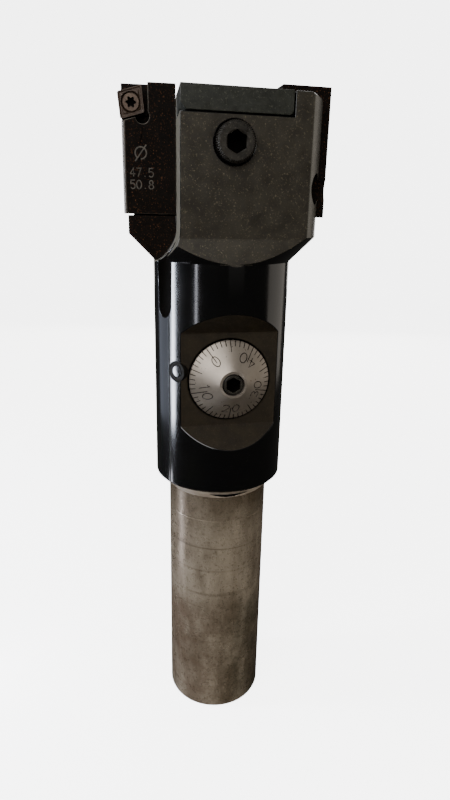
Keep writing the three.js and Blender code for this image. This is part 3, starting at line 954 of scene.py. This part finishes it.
@dataclass
class Body:
    """Shank, neck and head in one piece of steel, blackened above the shank."""

    shank_r: float = 12.7
    shank_top: float = 65.7
    neck_r: float = 16.05
    neck_top: float = 122.4
    head_r: float = 21.63
    head_top: float = 156.6
    flat_y: float = 14.75
    bore_r: float = 6.3
    dial_z: float = 95.64
    pocket_y: float = 11.19
    pocket_half: float = 11.2
    clamp_x: float = -0.75
    clamp_z: float = 146.4
    bar_bottom: float = 152.0
    bar_right: float = 11.45
    lock_y: float = 10.75
    lock_z: float = 138.2
    seat_z: float = 132.3
    bare_cone: float = 2.75
    ring_z: float = 59.0
    groove_r: float = 3.0
    groove_bearing: float = 204.7
    groove_top: Point = (16.2, 126)
    groove_foot: Point = (17.4, 112.4)
    spindle_lock_bearing: float = 220.0
    spindle_lock_z: float = 97.8
    wheel_r: float = 20.0
    wheel_y: float = -32.9
    crescent: Point = (0.1, 1.6)
    sides: int = 256

    def blank(self) -> Piece:
        """The turned bar, before milling.

        Returns:
            The closed solid.
        """
        cone_top = self.shank_top + self.neck_r - self.shank_r
        head_foot = self.neck_top + self.head_r - self.neck_r
        return turned("boring_head_body", [
            (self.shank_r - 0.9, 0), (self.shank_r - 0.25, 0.3), (self.shank_r, 0.9),
            (self.shank_r, self.ring_z - 0.3), (self.shank_r - 0.15, self.ring_z),
            (self.shank_r, self.ring_z + 0.3), (self.shank_r, self.shank_top),
            (self.shank_r + self.bare_cone, self.shank_top + self.bare_cone),
            (self.neck_r, cone_top), (self.neck_r, self.neck_top), (self.head_r, head_foot),
            (self.head_r, self.head_top - 0.5), (self.head_r - 0.5, self.head_top),
        ], self.sides)

    def flat(self) -> Piece:
        """Front flat, with the shallow ramp that runs out to the neck.

        Returns:
            The closed solid.
        """
        top = self.head_top + 5
        return pushed("flat", [
            (-self.flat_y, top), (-self.flat_y, 127.7), (-self.neck_r - 0.15, 121.2),
            (-30, 121.2), (-30, top),
        ], -25, 25, Axis.X)

    def neck_groove(self) -> Piece:
        """Round-bottomed groove that runs out down the neck below a gullet.

        Returns:
            The closed solid.
        """
        bearing = math.radians(self.groove_bearing)
        out = Vector((math.cos(bearing), math.sin(bearing), 0))
        upper, lower = (out * r + Vector((0, 0, z)) for r, z in (self.groove_top, self.groove_foot))
        length = (upper - lower).length
        angles = [math.radians(a) for a in range(85, -1, -8)]
        ball = [(self.groove_r * math.cos(a), -self.groove_r * math.sin(a)) for a in angles]
        stations = [*ball, *((r, length - h) for r, h in reversed(ball))]
        groove = turned("groove", stations, 48)
        turn = (upper - lower).to_track_quat("Z", "Y").to_matrix().to_4x4()
        return settle(groove, Matrix.Translation(lower * MM) @ turn)

    def pair_cutters(self, gullet: Gullet) -> list[Piece]:
        """Cutters of the left and front side, which repeat after half a turn.

        Args:
            gullet: The gullet.

        Returns:
            The closed solids.
        """
        top = self.head_top + 5
        clamp, lock = (self.clamp_x, 0, self.clamp_z), (0, -self.lock_y, self.lock_z)
        return [
            self.flat(), gullet.cutter(top), self.neck_groove(),
            block("cartridge_pocket", (-30, -1.6, self.seat_z - 0.3), (-10.65, 8.4, top)),
            block("bar_pocket", (-20, -20, self.bar_bottom - 0.3), (self.bar_right + 0.3, -4.1, top)),
            turned("clamp_counterbore", [(4.4, -20), (4.4, -10.4)], 96, Axis.Y, clamp),
            turned("clamp_thread", [(2.7, -10.6), (2.7, -4)], 48, Axis.Y, clamp),
            turned("lock_counterbore", [(3.25, 12.9), (3.25, 25)], 64, Axis.X, lock),
            turned("lock_thread", [(2.7, 4.5), (2.7, 13)], 48, Axis.X, lock),
            block("slide_channel", (-11.25, 1.0, 134), (6.4, 4.3, 150)),
            block("boss_channel", (-11.25, 0.6, 136.9), (-4.7, 7.2, 147.1)),
        ]

    def single_cutters(self) -> list[Piece]:
        """Cutters on the tool axis and on the dial's side.

        Returns:
            The closed solids.
        """
        half, deep, out = self.pocket_half, self.pocket_y, 7
        z = self.dial_z
        dial = (0, 0, z)
        pocket = pushed("dial_pocket", [
            (-deep, z - half), (-deep, z + half),
            (-deep - out, z + half + out), (-deep - out, z - half - out),
        ], -20, 20, Axis.X)
        bearing = Matrix.Rotation(math.radians(self.spindle_lock_bearing), 4, "Z")
        lock = turned("spindle_lock", [(1.1, 10), (1.1, 14), (2.35, 14), (2.35, 17)], 64, Axis.X)
        return [
            pocket,
            turned("dial_rim", [(9.8, -12), (9.8, -9.1)], 128, Axis.Y, dial),
            turned("spindle_bore", [(8.8, -9.2), (8.8, 8.3)], 96, Axis.Y, dial),
            turned("tail_bore", [(4.3, 8.2), (4.3, 11.5)], 48, Axis.Y, dial),
            turned("axial_bore", [(self.bore_r, -1), (self.bore_r, 134.1)], 96),
            block("blade_channel", (-4.2, -1.1, 134), (4.2, 1.1, 150)),
            settle(lock, Matrix.Translation(Vector((0, 0, self.spindle_lock_z)) * MM) @ bearing),
        ]

    def make(self, shop: Shop, gullet: Gullet) -> Piece:
        """Mills the bar and dresses its surfaces.

        Args:
            shop: The finishes.
            gullet: The gullet.

        Returns:
            The finished body.
        """
        piece = self.blank()
        first = self.pair_cutters(gullet)
        second = [half_turn(cutter, cutter.name + "_rear") for cutter in first]
        cut(piece, [*first, *second, *self.single_cutters()])
        break_edges(piece, 0.14)
        stations = [(self.wheel_r, self.shank_top + height) for height in self.crescent]
        smoothed(cut(piece, [turned("crescent", stations, self.sides, Axis.Z, (0, self.wheel_y, 0))]))
        self.dress(piece, shop)
        return fit(piece, "body", "body")

    def dress(self, piece: Piece, shop: Shop) -> None:
        """Gives each machined surface its own finish.

        Args:
            piece: The milled body.
            shop: The finishes.
        """
        paint(piece, shop.gloss)
        cone_end = self.shank_top + self.bare_cone + 0.05
        paint_where(piece, shop.shank, lambda c, n: c.z < self.shank_top + 0.1)
        # The bare cone band is painted pale, partly as a painted reflection of a white table below.
        paint_where(piece, shop.cone, lambda c, n: self.shank_top < c.z < cone_end)
        # The crescent notch is painted black as painted shade.
        paint_where(piece, shop.ink, lambda c, n: self.in_crescent(c))
        paint_where(piece, shop.satin, lambda c, n: self.on_flat(c, n))
        paint_where(piece, shop.strip, lambda c, n: c.z > 128 and math.hypot(c.x, c.y) > self.head_r - 0.2)
        paint_where(piece, shop.pocket, lambda c, n: self.in_pocket(c))
        # The neck grooves are painted black: painted shade in the narrow groove, with oil in it.
        paint_where(piece, shop.ink, lambda c, n: self.in_groove(c))
        paint_where(piece, shop.plug, lambda c, n: self.round_lock(c))
        # The gullet walls get the pale painted highlight.
        paint_where(piece, shop.worn, lambda c, n: c.z > 121.6 and self.on_wall(c, n))
        paint_where(piece, shop.brown, lambda c, n: c.z > 121.6 and self.on_seat(c, n))

    def on_flat(self, c: Vector, n: Vector) -> bool:
        """Whether a face is a flat of the head or the ramp below it."""
        return c.z > 121 and abs(n.y) > 0.95 and abs(c.y) > self.flat_y - 0.1

    def in_crescent(self, c: Vector) -> bool:
        """Whether a face belongs to the crescent cut in the cone."""
        near = self.shank_top < c.z < self.shank_top + self.crescent[1] + 0.1
        return near and math.hypot(c.x, c.y - self.wheel_y) < self.wheel_r + 0.01

    def in_pocket(self, c: Vector) -> bool:
        """Whether a face belongs to the dial pocket."""
        near = abs(c.z - self.dial_z) < self.pocket_half + 5.3
        return near and c.y < -9 and math.hypot(c.x, c.y) < self.neck_r - 0.08

    def in_groove(self, c: Vector) -> bool:
        """Whether a face belongs to a groove down the neck.

        Args:
            c: The face's middle in millimetres.

        Returns:
            True for a face of a groove.
        """
        side = 1 if c.x < 0 else -1
        low = 108 < c.z < self.neck_top and math.hypot(c.x, c.y) < self.neck_r - 0.08
        return low and side * c.x < -10 and side * c.y < -2

    def round_lock(self, c: Vector) -> bool:
        """Whether a face belongs to the spindle lock's hole or its rim.

        Args:
            c: The face's middle in millimetres.

        Returns:
            True for a face of the hole or rim.
        """
        bearing = math.radians(self.spindle_lock_bearing)
        out = Vector((math.cos(bearing), math.sin(bearing), 0))
        from_axis = c - Vector((0, 0, self.spindle_lock_z))
        along = from_axis.dot(out)
        return along > 10 and (from_axis - out * along).length < 2.6

    def on_wall(self, c: Vector, n: Vector) -> bool:
        """Whether a face is the wall or the rounded foot of a gullet."""
        side = 1 if c.x < 0 else -1
        return side * c.y < -1.4 and -21.5 < side * c.x < -10.8 and side * n.x < -0.02 and abs(n.y) < 0.2

    def on_seat(self, c: Vector, n: Vector) -> bool:
        """Whether a face is the seat below a cartridge."""
        side = 1 if c.x < 0 else -1
        return side * n.y < -0.9 and -2 < side * c.y < 0 and side * c.x < -10


@dataclass
class SocketScrew:
    """A cap screw with a hexagon socket and, on the clamp screws, a knurled head.

    Heights run along the screw's own axis, from the tool axis outwards.
    """

    name: str
    head_r: float
    head_low: float
    head_top: float
    stem_r: float
    stem_end: float
    key: float
    key_depth: float
    teeth: int = 0

    def head(self) -> Piece:
        """The head, with a rounded rim and, where it has teeth, a straight knurl.

        Returns:
            The closed solid, along Z.
        """
        rim = 0.5
        if not self.teeth:
            top = [(self.head_r, self.head_top - rim), (self.head_r - rim, self.head_top)]
            return turned(self.name, [(self.head_r, self.head_low), *top], 72)
        ratio = 1 - rim / self.head_r
        outline = []
        for step in range(4 * self.teeth):
            angle = 2 * math.pi * step / (4 * self.teeth)
            radius = self.head_r - (0.0, 0.0, 0.22, 0.22)[step % 4]
            outline.append((radius * math.cos(angle), radius * math.sin(angle)))
        low, high = self.head_low, self.head_top
        steps = [(low, ratio), (low + rim, 1), (high - rim, 1), (high, ratio)]
        return drawn(self.name, outline, steps, Axis.Z)

    def make(self, shop: Shop, place: Matrix) -> Piece:
        """Builds the screw along Z and puts it in place.

        Args:
            shop: The finishes.
            place: Matrix in metres from Z to the screw's place.

        Returns:
            The finished screw.
        """
        piece = self.head()
        stem = turned("stem", [(self.stem_r, self.stem_end), (self.stem_r, self.head_low + 0.2)], 48)
        cut(piece, [stem], "UNION")
        foot = self.head_top - self.key_depth
        socket = pushed("socket", hexagon(self.key), foot, self.head_top + 1, Axis.Z)
        mouth_r = self.key / math.sqrt(3)
        low = self.head_top - 0.25
        mouth = turned("mouth", [(mouth_r - 0.25, low), (mouth_r + 0.1, self.head_top + 0.1)], 48)
        paint(piece, shop.screw)
        # The socket is lined with black painted shade.
        cut(piece, [paint(socket, shop.ink), paint(mouth, shop.screw)])
        return settle(smoothed(piece, 25), place)


@dataclass
class Screws:
    """Clamp screws of the bars, lock screws of the cartridges and bolts of the slides."""

    clamp_x: float = -0.75
    clamp_z: float = 146.4
    lock_y: float = 10.75
    lock_z: float = 138.2
    bolt_y: float = 3.9
    bolt_z: float = 142.0

    def make(self, shop: Shop) -> None:
        """Makes the three pairs.

        Args:
            shop: The finishes.
        """
        outwards = Matrix.Rotation(math.pi / 2, 4, "X")
        clamp = SocketScrew(
            "clamp_screw", head_r=4.1, head_low=10.7, head_top=16.75,
            stem_r=2.4, stem_end=6.8, key=3.97, key_depth=3.0, teeth=56,
        )
        clamp_place = Matrix.Translation(Vector((self.clamp_x, 0, self.clamp_z)) * MM)
        front = clamp.make(shop, clamp_place @ outwards)
        rear = half_turn(front, "clamp_screw_rear")
        fit(front, "front_clamp_screw", "front_clamp_screw")
        fit(rear, "rear_clamp_screw", "rear_clamp_screw")

        sideways = Matrix.Rotation(math.pi / 2, 4, "Y")
        lock = SocketScrew(
            "lock_screw", head_r=3.0, head_low=13.2, head_top=16.6,
            stem_r=2.4, stem_end=5.0, key=2.5, key_depth=2.0,
        )
        right = lock.make(shop, Matrix.Translation(Vector((0, -self.lock_y, self.lock_z)) * MM) @ sideways)
        left = half_turn(right, "lock_screw_left")
        fit(right, "right_lock_screw", "body")
        fit(left, "left_lock_screw", "body")

        bolt = SocketScrew(
            "cartridge_bolt", head_r=2.9, head_low=18.4, head_top=21.4,
            stem_r=1.9, stem_end=6.6, key=3.0, key_depth=2.0,
        )
        leftwards = Matrix.Rotation(-math.pi / 2, 4, "Y")
        left = bolt.make(shop, Matrix.Translation(Vector((0, self.bolt_y, self.bolt_z)) * MM) @ leftwards)
        right = half_turn(left, "cartridge_bolt_right")
        fit(left, "left_cartridge_bolt", "left_slide")
        fit(right, "right_cartridge_bolt", "right_slide")


@dataclass
class Cutter:
    """One cutter: the cartridge, its carbide insert and the insert's screw."""

    gullet: Gullet
    seat_z: float = 132.3
    top: float = 158.96
    outer: float = 22.55
    outer_rear: float = 21.85
    rear: float = 8.1
    tip: Point = (-12.45, 156.9)
    side: float = 5.4
    thick: float = 2.38
    lead: float = 16.0
    corner: float = 100.0
    gap: float = 0.3
    bolt: Point = (0, 3.9, 142.0)
    lock: Point = (0, 10.75, 138.2)
    mark_places: tuple[Point, ...] = ((-7.7, 145.0, 0), (-7.55, 141.0, 0), (-7.55, 138.5, 0))

    def corners(self) -> list[Point]:
        """Corners of the insert on the gullet's own axes, from the cutting corner round.

        Returns:
            The four corners.
        """
        lead, down = math.radians(self.lead), math.radians(self.lead - self.corner)
        top = (math.cos(lead) * self.side, math.sin(lead) * self.side)
        side = (math.cos(down) * self.side, math.sin(down) * self.side)
        x, z = self.tip
        return [
            (x, z), (x + side[0], z + side[1]),
            (x + side[0] + top[0], z + side[1] + top[1]), (x + top[0], z + top[1]),
        ]

    def centre(self) -> Point:
        """Middle of the insert on the gullet's own axes."""
        first, _, third, _ = self.corners()
        return ((first[0] + third[0]) / 2, (first[1] + third[1]) / 2)

    def rounded(self, radius: float) -> list[Point]:
        """Outline of the insert with its corners rounded.

        Args:
            radius: Radius of the corners in millimetres.

        Returns:
            Points of the outline.
        """
        corners = [Vector(corner) for corner in self.corners()]
        points = []
        for i, here in enumerate(corners):
            enter = here + (corners[i - 1] - here).normalized() * radius
            leave = here + (corners[(i + 1) % 4] - here).normalized() * radius
            for step in range(6):
                t = step / 5
                points.append(tuple(enter * (1 - t) ** 2 + here * 2 * t * (1 - t) + leave * t**2))
        return points

    def pocket(self) -> list[Piece]:
        """Cutters of the insert's pocket, its corner relief and its screw hole.

        Returns:
            The closed solids.
        """
        _, low, inner, _ = self.corners()
        wall = inner[0] + 0.7
        above = self.top + 5
        deep = self.thick + self.gap
        recess = pushed("insert_pocket", [
            (-25, above), (-25, low[1] - self.gap - 3.7), (low[0], low[1] - self.gap),
            (inner[0], inner[1] - self.gap), (wall, inner[1] - self.gap), (wall, above),
        ], -1, deep, Axis.Y)
        corner = (inner[0] - 0.5, 0, inner[1] - 0.7)
        relief = turned("relief", [(1.5, -1), (1.5, deep)], 40, Axis.Y, corner)
        cx, cz = self.centre()
        hole = turned("hole", [(1.4, self.thick), (1.4, 6.2)], 32, Axis.Y, (cx, 0, cz))
        return [settle(piece, self.gullet.place()) for piece in (recess, relief, hole)]

    def marks(self) -> list[Piece]:
        """Cutters of the etched diameter sign and of the two numbers of its range.

        Returns:
            One solid for each stroke.
        """
        upright = self.gullet.place() @ Matrix.Rotation(math.pi / 2, 4, "X")
        sign_pen, digit_pen = (0.32, 0.06), (0.26, 0.06)
        sign, low, high = (upright @ Matrix.Translation(Vector(place) * MM) for place in self.mark_places)
        return [
            *number("\u00f8", 3.4, 1, sign_pen, sign),
            *number("47.5", 1.75, 1.35, digit_pen, low),
            *number("50.8", 1.75, 1.35, digit_pen, high),
        ]

    def cartridge(self, shop: Shop) -> Piece:
        """Block that carries the insert, cut, rounded at the edges and etched.

        Args:
            shop: The finishes.

        Returns:
            The finished cartridge.
        """
        x, y = self.gullet.corner_x, self.gullet.corner_y
        lean = math.tan(math.radians(self.gullet.rake))
        front = y + lean * (self.outer + x)
        edge = 0.5
        piece = pushed("cartridge", [
            (x, y), (x, self.rear), (-self.outer_rear, self.rear), (-self.outer, front + edge),
            (-self.outer + edge, front - edge * lean),
        ], self.seat_z, self.top, Axis.Z)
        cut(piece, [
            *self.pocket(),
            turned("bolt_head", [(3.15, -25), (3.15, -18.2)], 64, Axis.X, self.bolt),
            turned("bolt_hole", [(2.2, -25), (2.2, -5)], 48, Axis.X, self.bolt),
            turned("scallop", [(3.35, -25), (3.35, -5)], 64, Axis.X, self.lock),
        ])
        break_edges(piece, 0.16)
        paint(piece, shop.brown)
        paint_where(piece, shop.worn_edge, lambda c, n: self.on_edge(c, n))
        return smoothed(engrave(piece, self.marks(), shop.etch))

    def on_edge(self, c: Vector, n: Vector) -> bool:
        """Whether a face is one of the rounded edges round the front."""
        flat = max(abs(n.x), abs(n.y), abs(n.z)) > 0.985
        return not flat and c.y < 0.5

    def insert(self, shop: Shop) -> Piece:
        """Rhombic insert with a chip-breaking groove, a honed edge and clearance all round.

        Args:
            shop: The finishes.

        Returns:
            The finished insert.
        """
        chip_groove = [(0.0, 0.66), (0.16, 0.76), (0.16, 0.84), (0.0, 0.93)]
        steps = [*chip_groove, (0.0, 0.985), (0.03, 1.0), (self.thick, 0.86)]
        piece = drawn("insert", self.rounded(0.45), steps, Axis.Y, self.centre())
        cx, cz = self.centre()
        countersink = [(2.25, -0.1), (2.2, 0), (1.5, 1.4), (1.5, 3)]
        hole = turned("insert_hole", countersink, 48, Axis.Y, (cx, 0, cz))
        cut(piece, [hole])
        paint(piece, shop.carbide)
        return settle(smoothed(piece, 20), self.gullet.place())

    def screw(self, shop: Shop) -> Piece:
        """Countersunk screw with a six-lobed socket.

        Args:
            shop: The finishes.

        Returns:
            The finished screw.
        """
        cx, cz = self.centre()
        stations = [(1.7, 0.15), (1.85, 0.3), (1.2, 1.45), (1.2, 5.6)]
        piece = turned("insert_screw", stations, 48, Axis.Y, (cx, 0, cz))
        star = []
        for step in range(48):
            angle = 2 * math.pi * step / 48
            radius = 0.98 + 0.2 * math.cos(6 * angle)
            star.append((cx + radius * math.cos(angle), cz + radius * math.sin(angle)))
        paint(piece, shop.tan)
        # The lobes of the socket are lined with black painted shade.
        engrave(piece, [pushed("lobes", star, -0.5, 1.0, Axis.Y)], shop.ink)
        return settle(smoothed(piece, 25), self.gullet.place())

    def make(self, shop: Shop) -> None:
        """Makes the left cutter and turns a copy of it to the right.

        Args:
            shop: The finishes.
        """
        for left in (self.cartridge(shop), self.insert(shop), self.screw(shop)):
            base = left.name
            right = half_turn(left, base + "_right")
            fit(left, "left_" + base, "left_slide")
            fit(right, "right_" + base, "right_slide")


@dataclass
class GibBar:
    """Bar let into the top of each flat, notched where it bears on a cartridge."""

    gullet: Gullet
    left: float = -11.95
    right: float = 11.45
    low: float = 152.0
    high: float = 156.7
    front: float = 14.75
    inner: float = 4.4
    bevel: float = 1.3
    corner: float = 1.0

    def make(self, shop: Shop) -> None:
        """Makes the front bar and turns a copy of it to the rear.

        Args:
            shop: The finishes.
        """
        centre = (self.right - self.corner, self.low + self.corner)
        corner = oval(centre, (self.corner, self.corner), -90, 0, 8)
        piece = pushed("gib_bar", [
            (self.left, self.high), (self.left, self.low + self.bevel), (self.left + self.bevel, self.low),
            *corner, (self.right, self.high),
        ], -self.front, -self.inner, Axis.Y)
        trim = settle(block("trim", (-25, -25, 140), (0.05, 5, 165)), self.gullet.place())
        notch = block("notch", (10.65, -8.4, 140), (25, 0, 165))
        cut(piece, [trim, notch])
        break_edges(piece, 0.18)
        paint(piece, shop.bar)
        rear = half_turn(piece, "gib_bar_rear")
        fit(piece, "front_gib_bar", "body")
        fit(rear, "rear_gib_bar", "body")


@dataclass
class Dial:
    """Graduated collar on the adjusting screw: fifty lines, a number at every tenth."""

    axis_z: float = 95.64
    radius: float = 9.5
    face_r: float = 3.1
    rim_y: float = -11.6
    face_y: float = -16.0
    back_y: float = -9.4
    bore: float = 2.6
    lines: int = 50
    zero: float = -36.0
    stroke: float = 0.19

    def on_cone(self, bearing: float, radius: float) -> Matrix:
        """Matrix to a point of the cone, x round the dial, y up to its axis and z out of the surface.

        Args:
            bearing: Angle from the top in degrees, clockwise as read.
            radius: Distance from the axis in millimetres.

        Returns:
            The matrix in metres.
        """
        slope = math.atan2(self.rim_y - self.face_y, self.radius - self.face_r)
        angle = math.radians(bearing)
        out = Vector((math.sin(angle), 0, math.cos(angle)))
        front = Vector((0, -1, 0))
        up = -out * math.cos(slope) + front * math.sin(slope)
        normal = out * math.sin(slope) + front * math.cos(slope)
        y = self.rim_y - (self.radius - radius) * math.tan(slope)
        place = (Vector((0, y, self.axis_z)) + out * radius) * MM
        turn = Matrix((up.cross(normal), up, normal)).transposed().to_4x4()
        return Matrix.Translation(place) @ turn

    def graduation(self, value: int) -> Piece:
        """One engraved line, longer at each fifth and longest at each tenth.

        Args:
            value: Number of the line, from zero.

        Returns:
            The cutter.
        """
        length = 4.3 if value % 10 == 0 else 2.9 if value % 5 == 0 else 1.45
        half = self.stroke / 2
        line = block("line", (-half, -0.5, -0.12), (half, length, 0.3))
        bearing = self.zero - 360 / self.lines * value
        return settle(line, self.on_cone(bearing, self.radius))

    def numeral(self, value: int, at: float) -> list[Piece]:
        """The digits of a number, either side of its line, with their tops towards the axis.

        Args:
            value: The number.
            at: Distance from the axis in millimetres.

        Returns:
            One solid for each stroke.
        """
        digits = str(value)
        bearing = self.zero - 360 / self.lines * value
        return number(digits, 2.6, 2.4, (0.2, 0.36), self.on_cone(bearing, at))

    def make(self, shop: Shop) -> None:
        """Turns, bores and engraves the dial, and makes the screw inside it.

        Args:
            shop: The finishes.
        """
        origin = (0, 0, self.axis_z)
        dial = turned("dial", [
            (self.radius - 0.2, self.back_y), (self.radius, self.back_y - 0.2),
            (self.radius, self.rim_y + 0.12), (self.radius - 0.12, self.rim_y - 0.02),
            (self.face_r + 0.1, self.face_y + 0.02), (self.face_r - 0.1, self.face_y),
        ][::-1], 192, Axis.Y, origin)
        paint(dial, shop.dial)
        cut(dial, [turned("dial_bore", [(self.bore, -18), (self.bore, -8)], 64, Axis.Y, origin)])
        marks = [self.graduation(value) for value in range(self.lines)]
        for value in range(0, self.lines, 10):
            marks += self.numeral(value, 6.3)
        engrave(dial, marks, shop.ink)
        fit(smoothed(dial, 20), "dial", "dial")

        screw = turned("adjusting_screw", [
            (2.1, -15.9), (2.3, -15.7), (2.3, -5.4), (4.6, -5.4), (4.6, -4.7), (2.4, -4.7),
            (2.4, 8.1), (2.0, 8.1), (2.0, 11),
        ], 48, Axis.Y, origin)
        paint(screw, shop.screw)
        # The hexagon key socket is lined with black painted shade.
        engrave(screw, [pushed("key", hexagon(3.175, (0, self.axis_z)), -17, -12.9, Axis.Y)], shop.ink)
        fit(smoothed(screw, 25), "adjusting_screw", "dial")


@dataclass
class Plugs:
    """Plug that locks the spindle, set flush in the neck, and the plug in the end of the shank."""

    bearing: float = 220.0
    height: float = 97.8
    outer: float = 2.2
    centre: float = 1.4

    def make(self, shop: Shop) -> None:
        """Makes both plugs.

        Args:
            shop: The finishes.
        """
        lock = turned("spindle_lock", [
            (0.8, 11.8), (0.8, 14.3), (self.outer, 14.3), (self.outer, 15.86), (self.centre + 0.1, 15.88),
            (self.centre, 15.7), (self.centre - 0.1, 15.84), (0.4, 15.9),
        ], 64, Axis.X)
        paint(lock, shop.plug)
        paint_where(lock, shop.gloss, lambda c, n: math.hypot(c.y, c.z) < self.centre and c.x > 15)
        turn = Matrix.Rotation(math.radians(self.bearing), 4, "Z")
        place = Matrix.Translation(Vector((0, 0, self.height)) * MM) @ turn
        fit(settle(smoothed(lock), place), "spindle_lock_screw", "body")

        plug = turned("shank_plug", [(6.0, 8.0), (6.0, 0.8), (5.8, 0.6)], 96)
        cut(plug, [turned("centre_hole", [(3.3, 0), (2.7, 0.6), (1.2, 3.2), (1.2, 4.6)], 48)])
        paint(plug, shop.shank)
        fit(smoothed(plug), "shank_plug", "body")


def dress_drive(nodes: dict[str, Piece], shop: Shop) -> None:
    """Gives the pieces inside the body their finishes, and lets the rod's spring shorten as the rod rises.

    Args:
        nodes: CAD nodes by name.
        shop: The finishes.
    """
    inside = {
        "left_slide": shop.bright, "right_slide": shop.bright,
        "push_rod": shop.bright, "drive_pin": shop.bright,
        "front_clamp_pad": shop.bronze, "rear_clamp_pad": shop.bronze, "wedge_nut": shop.bronze,
        "spindle_bush": shop.bronze, "tail_bush": shop.bronze, "upper_rod_bush": shop.bronze,
        "lower_rod_bush": shop.bronze, "friction_spring": shop.spring, "thrust_washer": shop.spring,
        "rod_spring": shop.spring,
    }
    for name, material in inside.items():
        paint(nodes[name], material)
        LOG.info("%s is dressed in %s", name, material.name)
    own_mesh(nodes["rod_spring"])


def studio() -> None:
    """Pale floor and wall."""
    # Matt card: an even, nearly white ground without reflections.
    stage = Finish(
        "studio_paper", "#eeeeec", "#f2f2f0", roughness=0.9, rough_spread=0.02, metallic=0.0,
        patch=200.0, grain=5.0, bump=0.001,
    ).dress()
    shader = stage.node_tree.nodes["Principled BSDF"]
    shader.inputs["Emission Color"].default_value = linear("#ffffff")
    shader.inputs["Emission Strength"].default_value = 5.0
    sweep = turned("studio_floor", [(600, 0), (900, 0.01), (1100, 60), (1200, 250), (1200, 1500)], 96)
    paint(sweep, stage)
    pick(sweep)
    bpy.ops.object.mode_set(mode="EDIT")
    bpy.ops.mesh.select_all(action="DESELECT")
    bpy.ops.object.mode_set(mode="OBJECT")
    top = max(sweep.data.polygons, key=lambda face: face.center.z * (len(face.vertices) > 4))
    top.select = True
    bpy.ops.object.mode_set(mode="EDIT")
    bpy.ops.mesh.delete(type="FACE")
    bpy.ops.mesh.select_all(action="SELECT")
    bpy.ops.mesh.flip_normals()
    bpy.ops.object.mode_set(mode="OBJECT")
    sweep.visible_glossy = False
    sweep.visible_diffuse = False


def area_light(
    name: str, place: Point, target: Point, size: Point, power: float, colour: str = "#ffffff"
) -> Piece:
    """A soft box at a place, facing a target.

    Args:
        name: The light's name.
        place: Its middle, in millimetres.
        target: Point that it faces, in millimetres.
        size: Width and height in millimetres.
        power: Power in watts.
        colour: Colour of the light.

    Returns:
        The light.
    """
    bpy.ops.object.select_all(action="DESELECT")
    bpy.ops.object.light_add(type="AREA", location=Vector(place) * MM)
    lamp = bpy.context.object
    lamp.name = name
    lamp.data.shape = "RECTANGLE"
    lamp.data.size, lamp.data.size_y = (value * MM for value in size)
    lamp.data.energy = power
    lamp.data.color = linear(colour)[:3]
    lamp.rotation_euler = (Vector(target) - Vector(place)).to_track_quat("-Z", "Y").to_euler()
    lamp.visible_camera = False
    return lamp


def lights() -> None:
    """Window light from the left, a weaker one from the right and a soft one from above."""
    middle, dial, cone = (0, 0, 90), (0, -12, 96), (0, 0, 66)
    area_light("window_strip", (-262, 36, 105), (0, 0, 95), (42, 230), 1.25, "#e9f0ff")
    area_light("window_glow", (-250, 150, 110), (0, 0, 95), (200, 260), 0.14, "#dfe8ff")
    area_light("table_glint", (-75, 12, 22), (0, 0, 22), (9, 40), 0.011, "#f3f2ff")
    area_light("right_fill", (420, 60, 200), middle, (420, 500), 0.43, "#fff6ea")
    soft_fill = area_light("soft_fill", (260, -260, 60), (0, 0, 60), (300, 200), 0.55, "#fff6ea")
    bounce = area_light("table_bounce", (-20, -130, -60), cone, (160, 60), 0.12, "#fff8ee")
    for lamp in (soft_fill, bounce):
        lamp.visible_glossy = False
    area_light("window_ray", (-242, -189, 79), dial, (14, 90), 0.04, "#f3f4ff")
    area_light("back_fill", (120, 480, 240), middle, (500, 400), 1.4, "#f4f2ee")
    area_light("overhead", (-300, -450, 450), middle, (600, 500), 5.0)
    bpy.context.scene.world = room()


def room() -> bpy.types.World:
    """Surroundings that are dim below the horizon and brighter above.

    Returns:
        The world.
    """
    world = bpy.data.worlds.new("room")
    world.use_nodes = True
    tree = world.node_tree
    way = add_node(tree, "TexCoord").outputs["Generated"]
    height = add_node(tree, "SeparateXYZ", {"Vector": way}).outputs["Z"]
    light = add_node(tree, "MapRange", {
        "Value": height, "From Min": 0.0, "From Max": 0.9, "To Min": 0.05, "To Max": 0.4,
    })
    backdrop = tree.nodes["Background"]
    backdrop.inputs[0].default_value = linear("#c9c6c0")
    tree.links.new(light.outputs[0], backdrop.inputs[1])
    return world


def camera() -> None:
    """Camera a hand's width from the dial side, a little to its left and level with the head."""
    place = Vector((-29.24, -137.93, 132.33)) * MM
    right = Vector((0.97705, -0.21204, 0.02044))
    up = Vector((0.04580, 0.30277, 0.95196))
    back = right.cross(up)
    bpy.ops.object.select_all(action="DESELECT")
    bpy.ops.object.camera_add()
    eye = bpy.context.object
    eye.matrix_world = Matrix.Translation(place) @ Matrix((right, up, back)).transposed().to_4x4()
    eye.data.sensor_fit = "VERTICAL"
    eye.data.sensor_height = 36
    eye.data.lens = 25.87
    eye.data.clip_start = 5 * MM
    bpy.context.scene.camera = eye


def main() -> None:
    """Builds the looks around the frame."""
    logging.basicConfig(level=logging.INFO, format="%(message)s")
    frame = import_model()
    camera()
    shop = Shop()
    gullet = Gullet()
    Body().make(shop, gullet)
    Cutter(gullet).make(shop)
    GibBar(gullet).make(shop)
    Screws().make(shop)
    Dial().make(shop)
    Plugs().make(shop)
    dress_drive(frame["nodes"], shop)
    studio()
    lights()


if __name__ == "__main__":
    main()
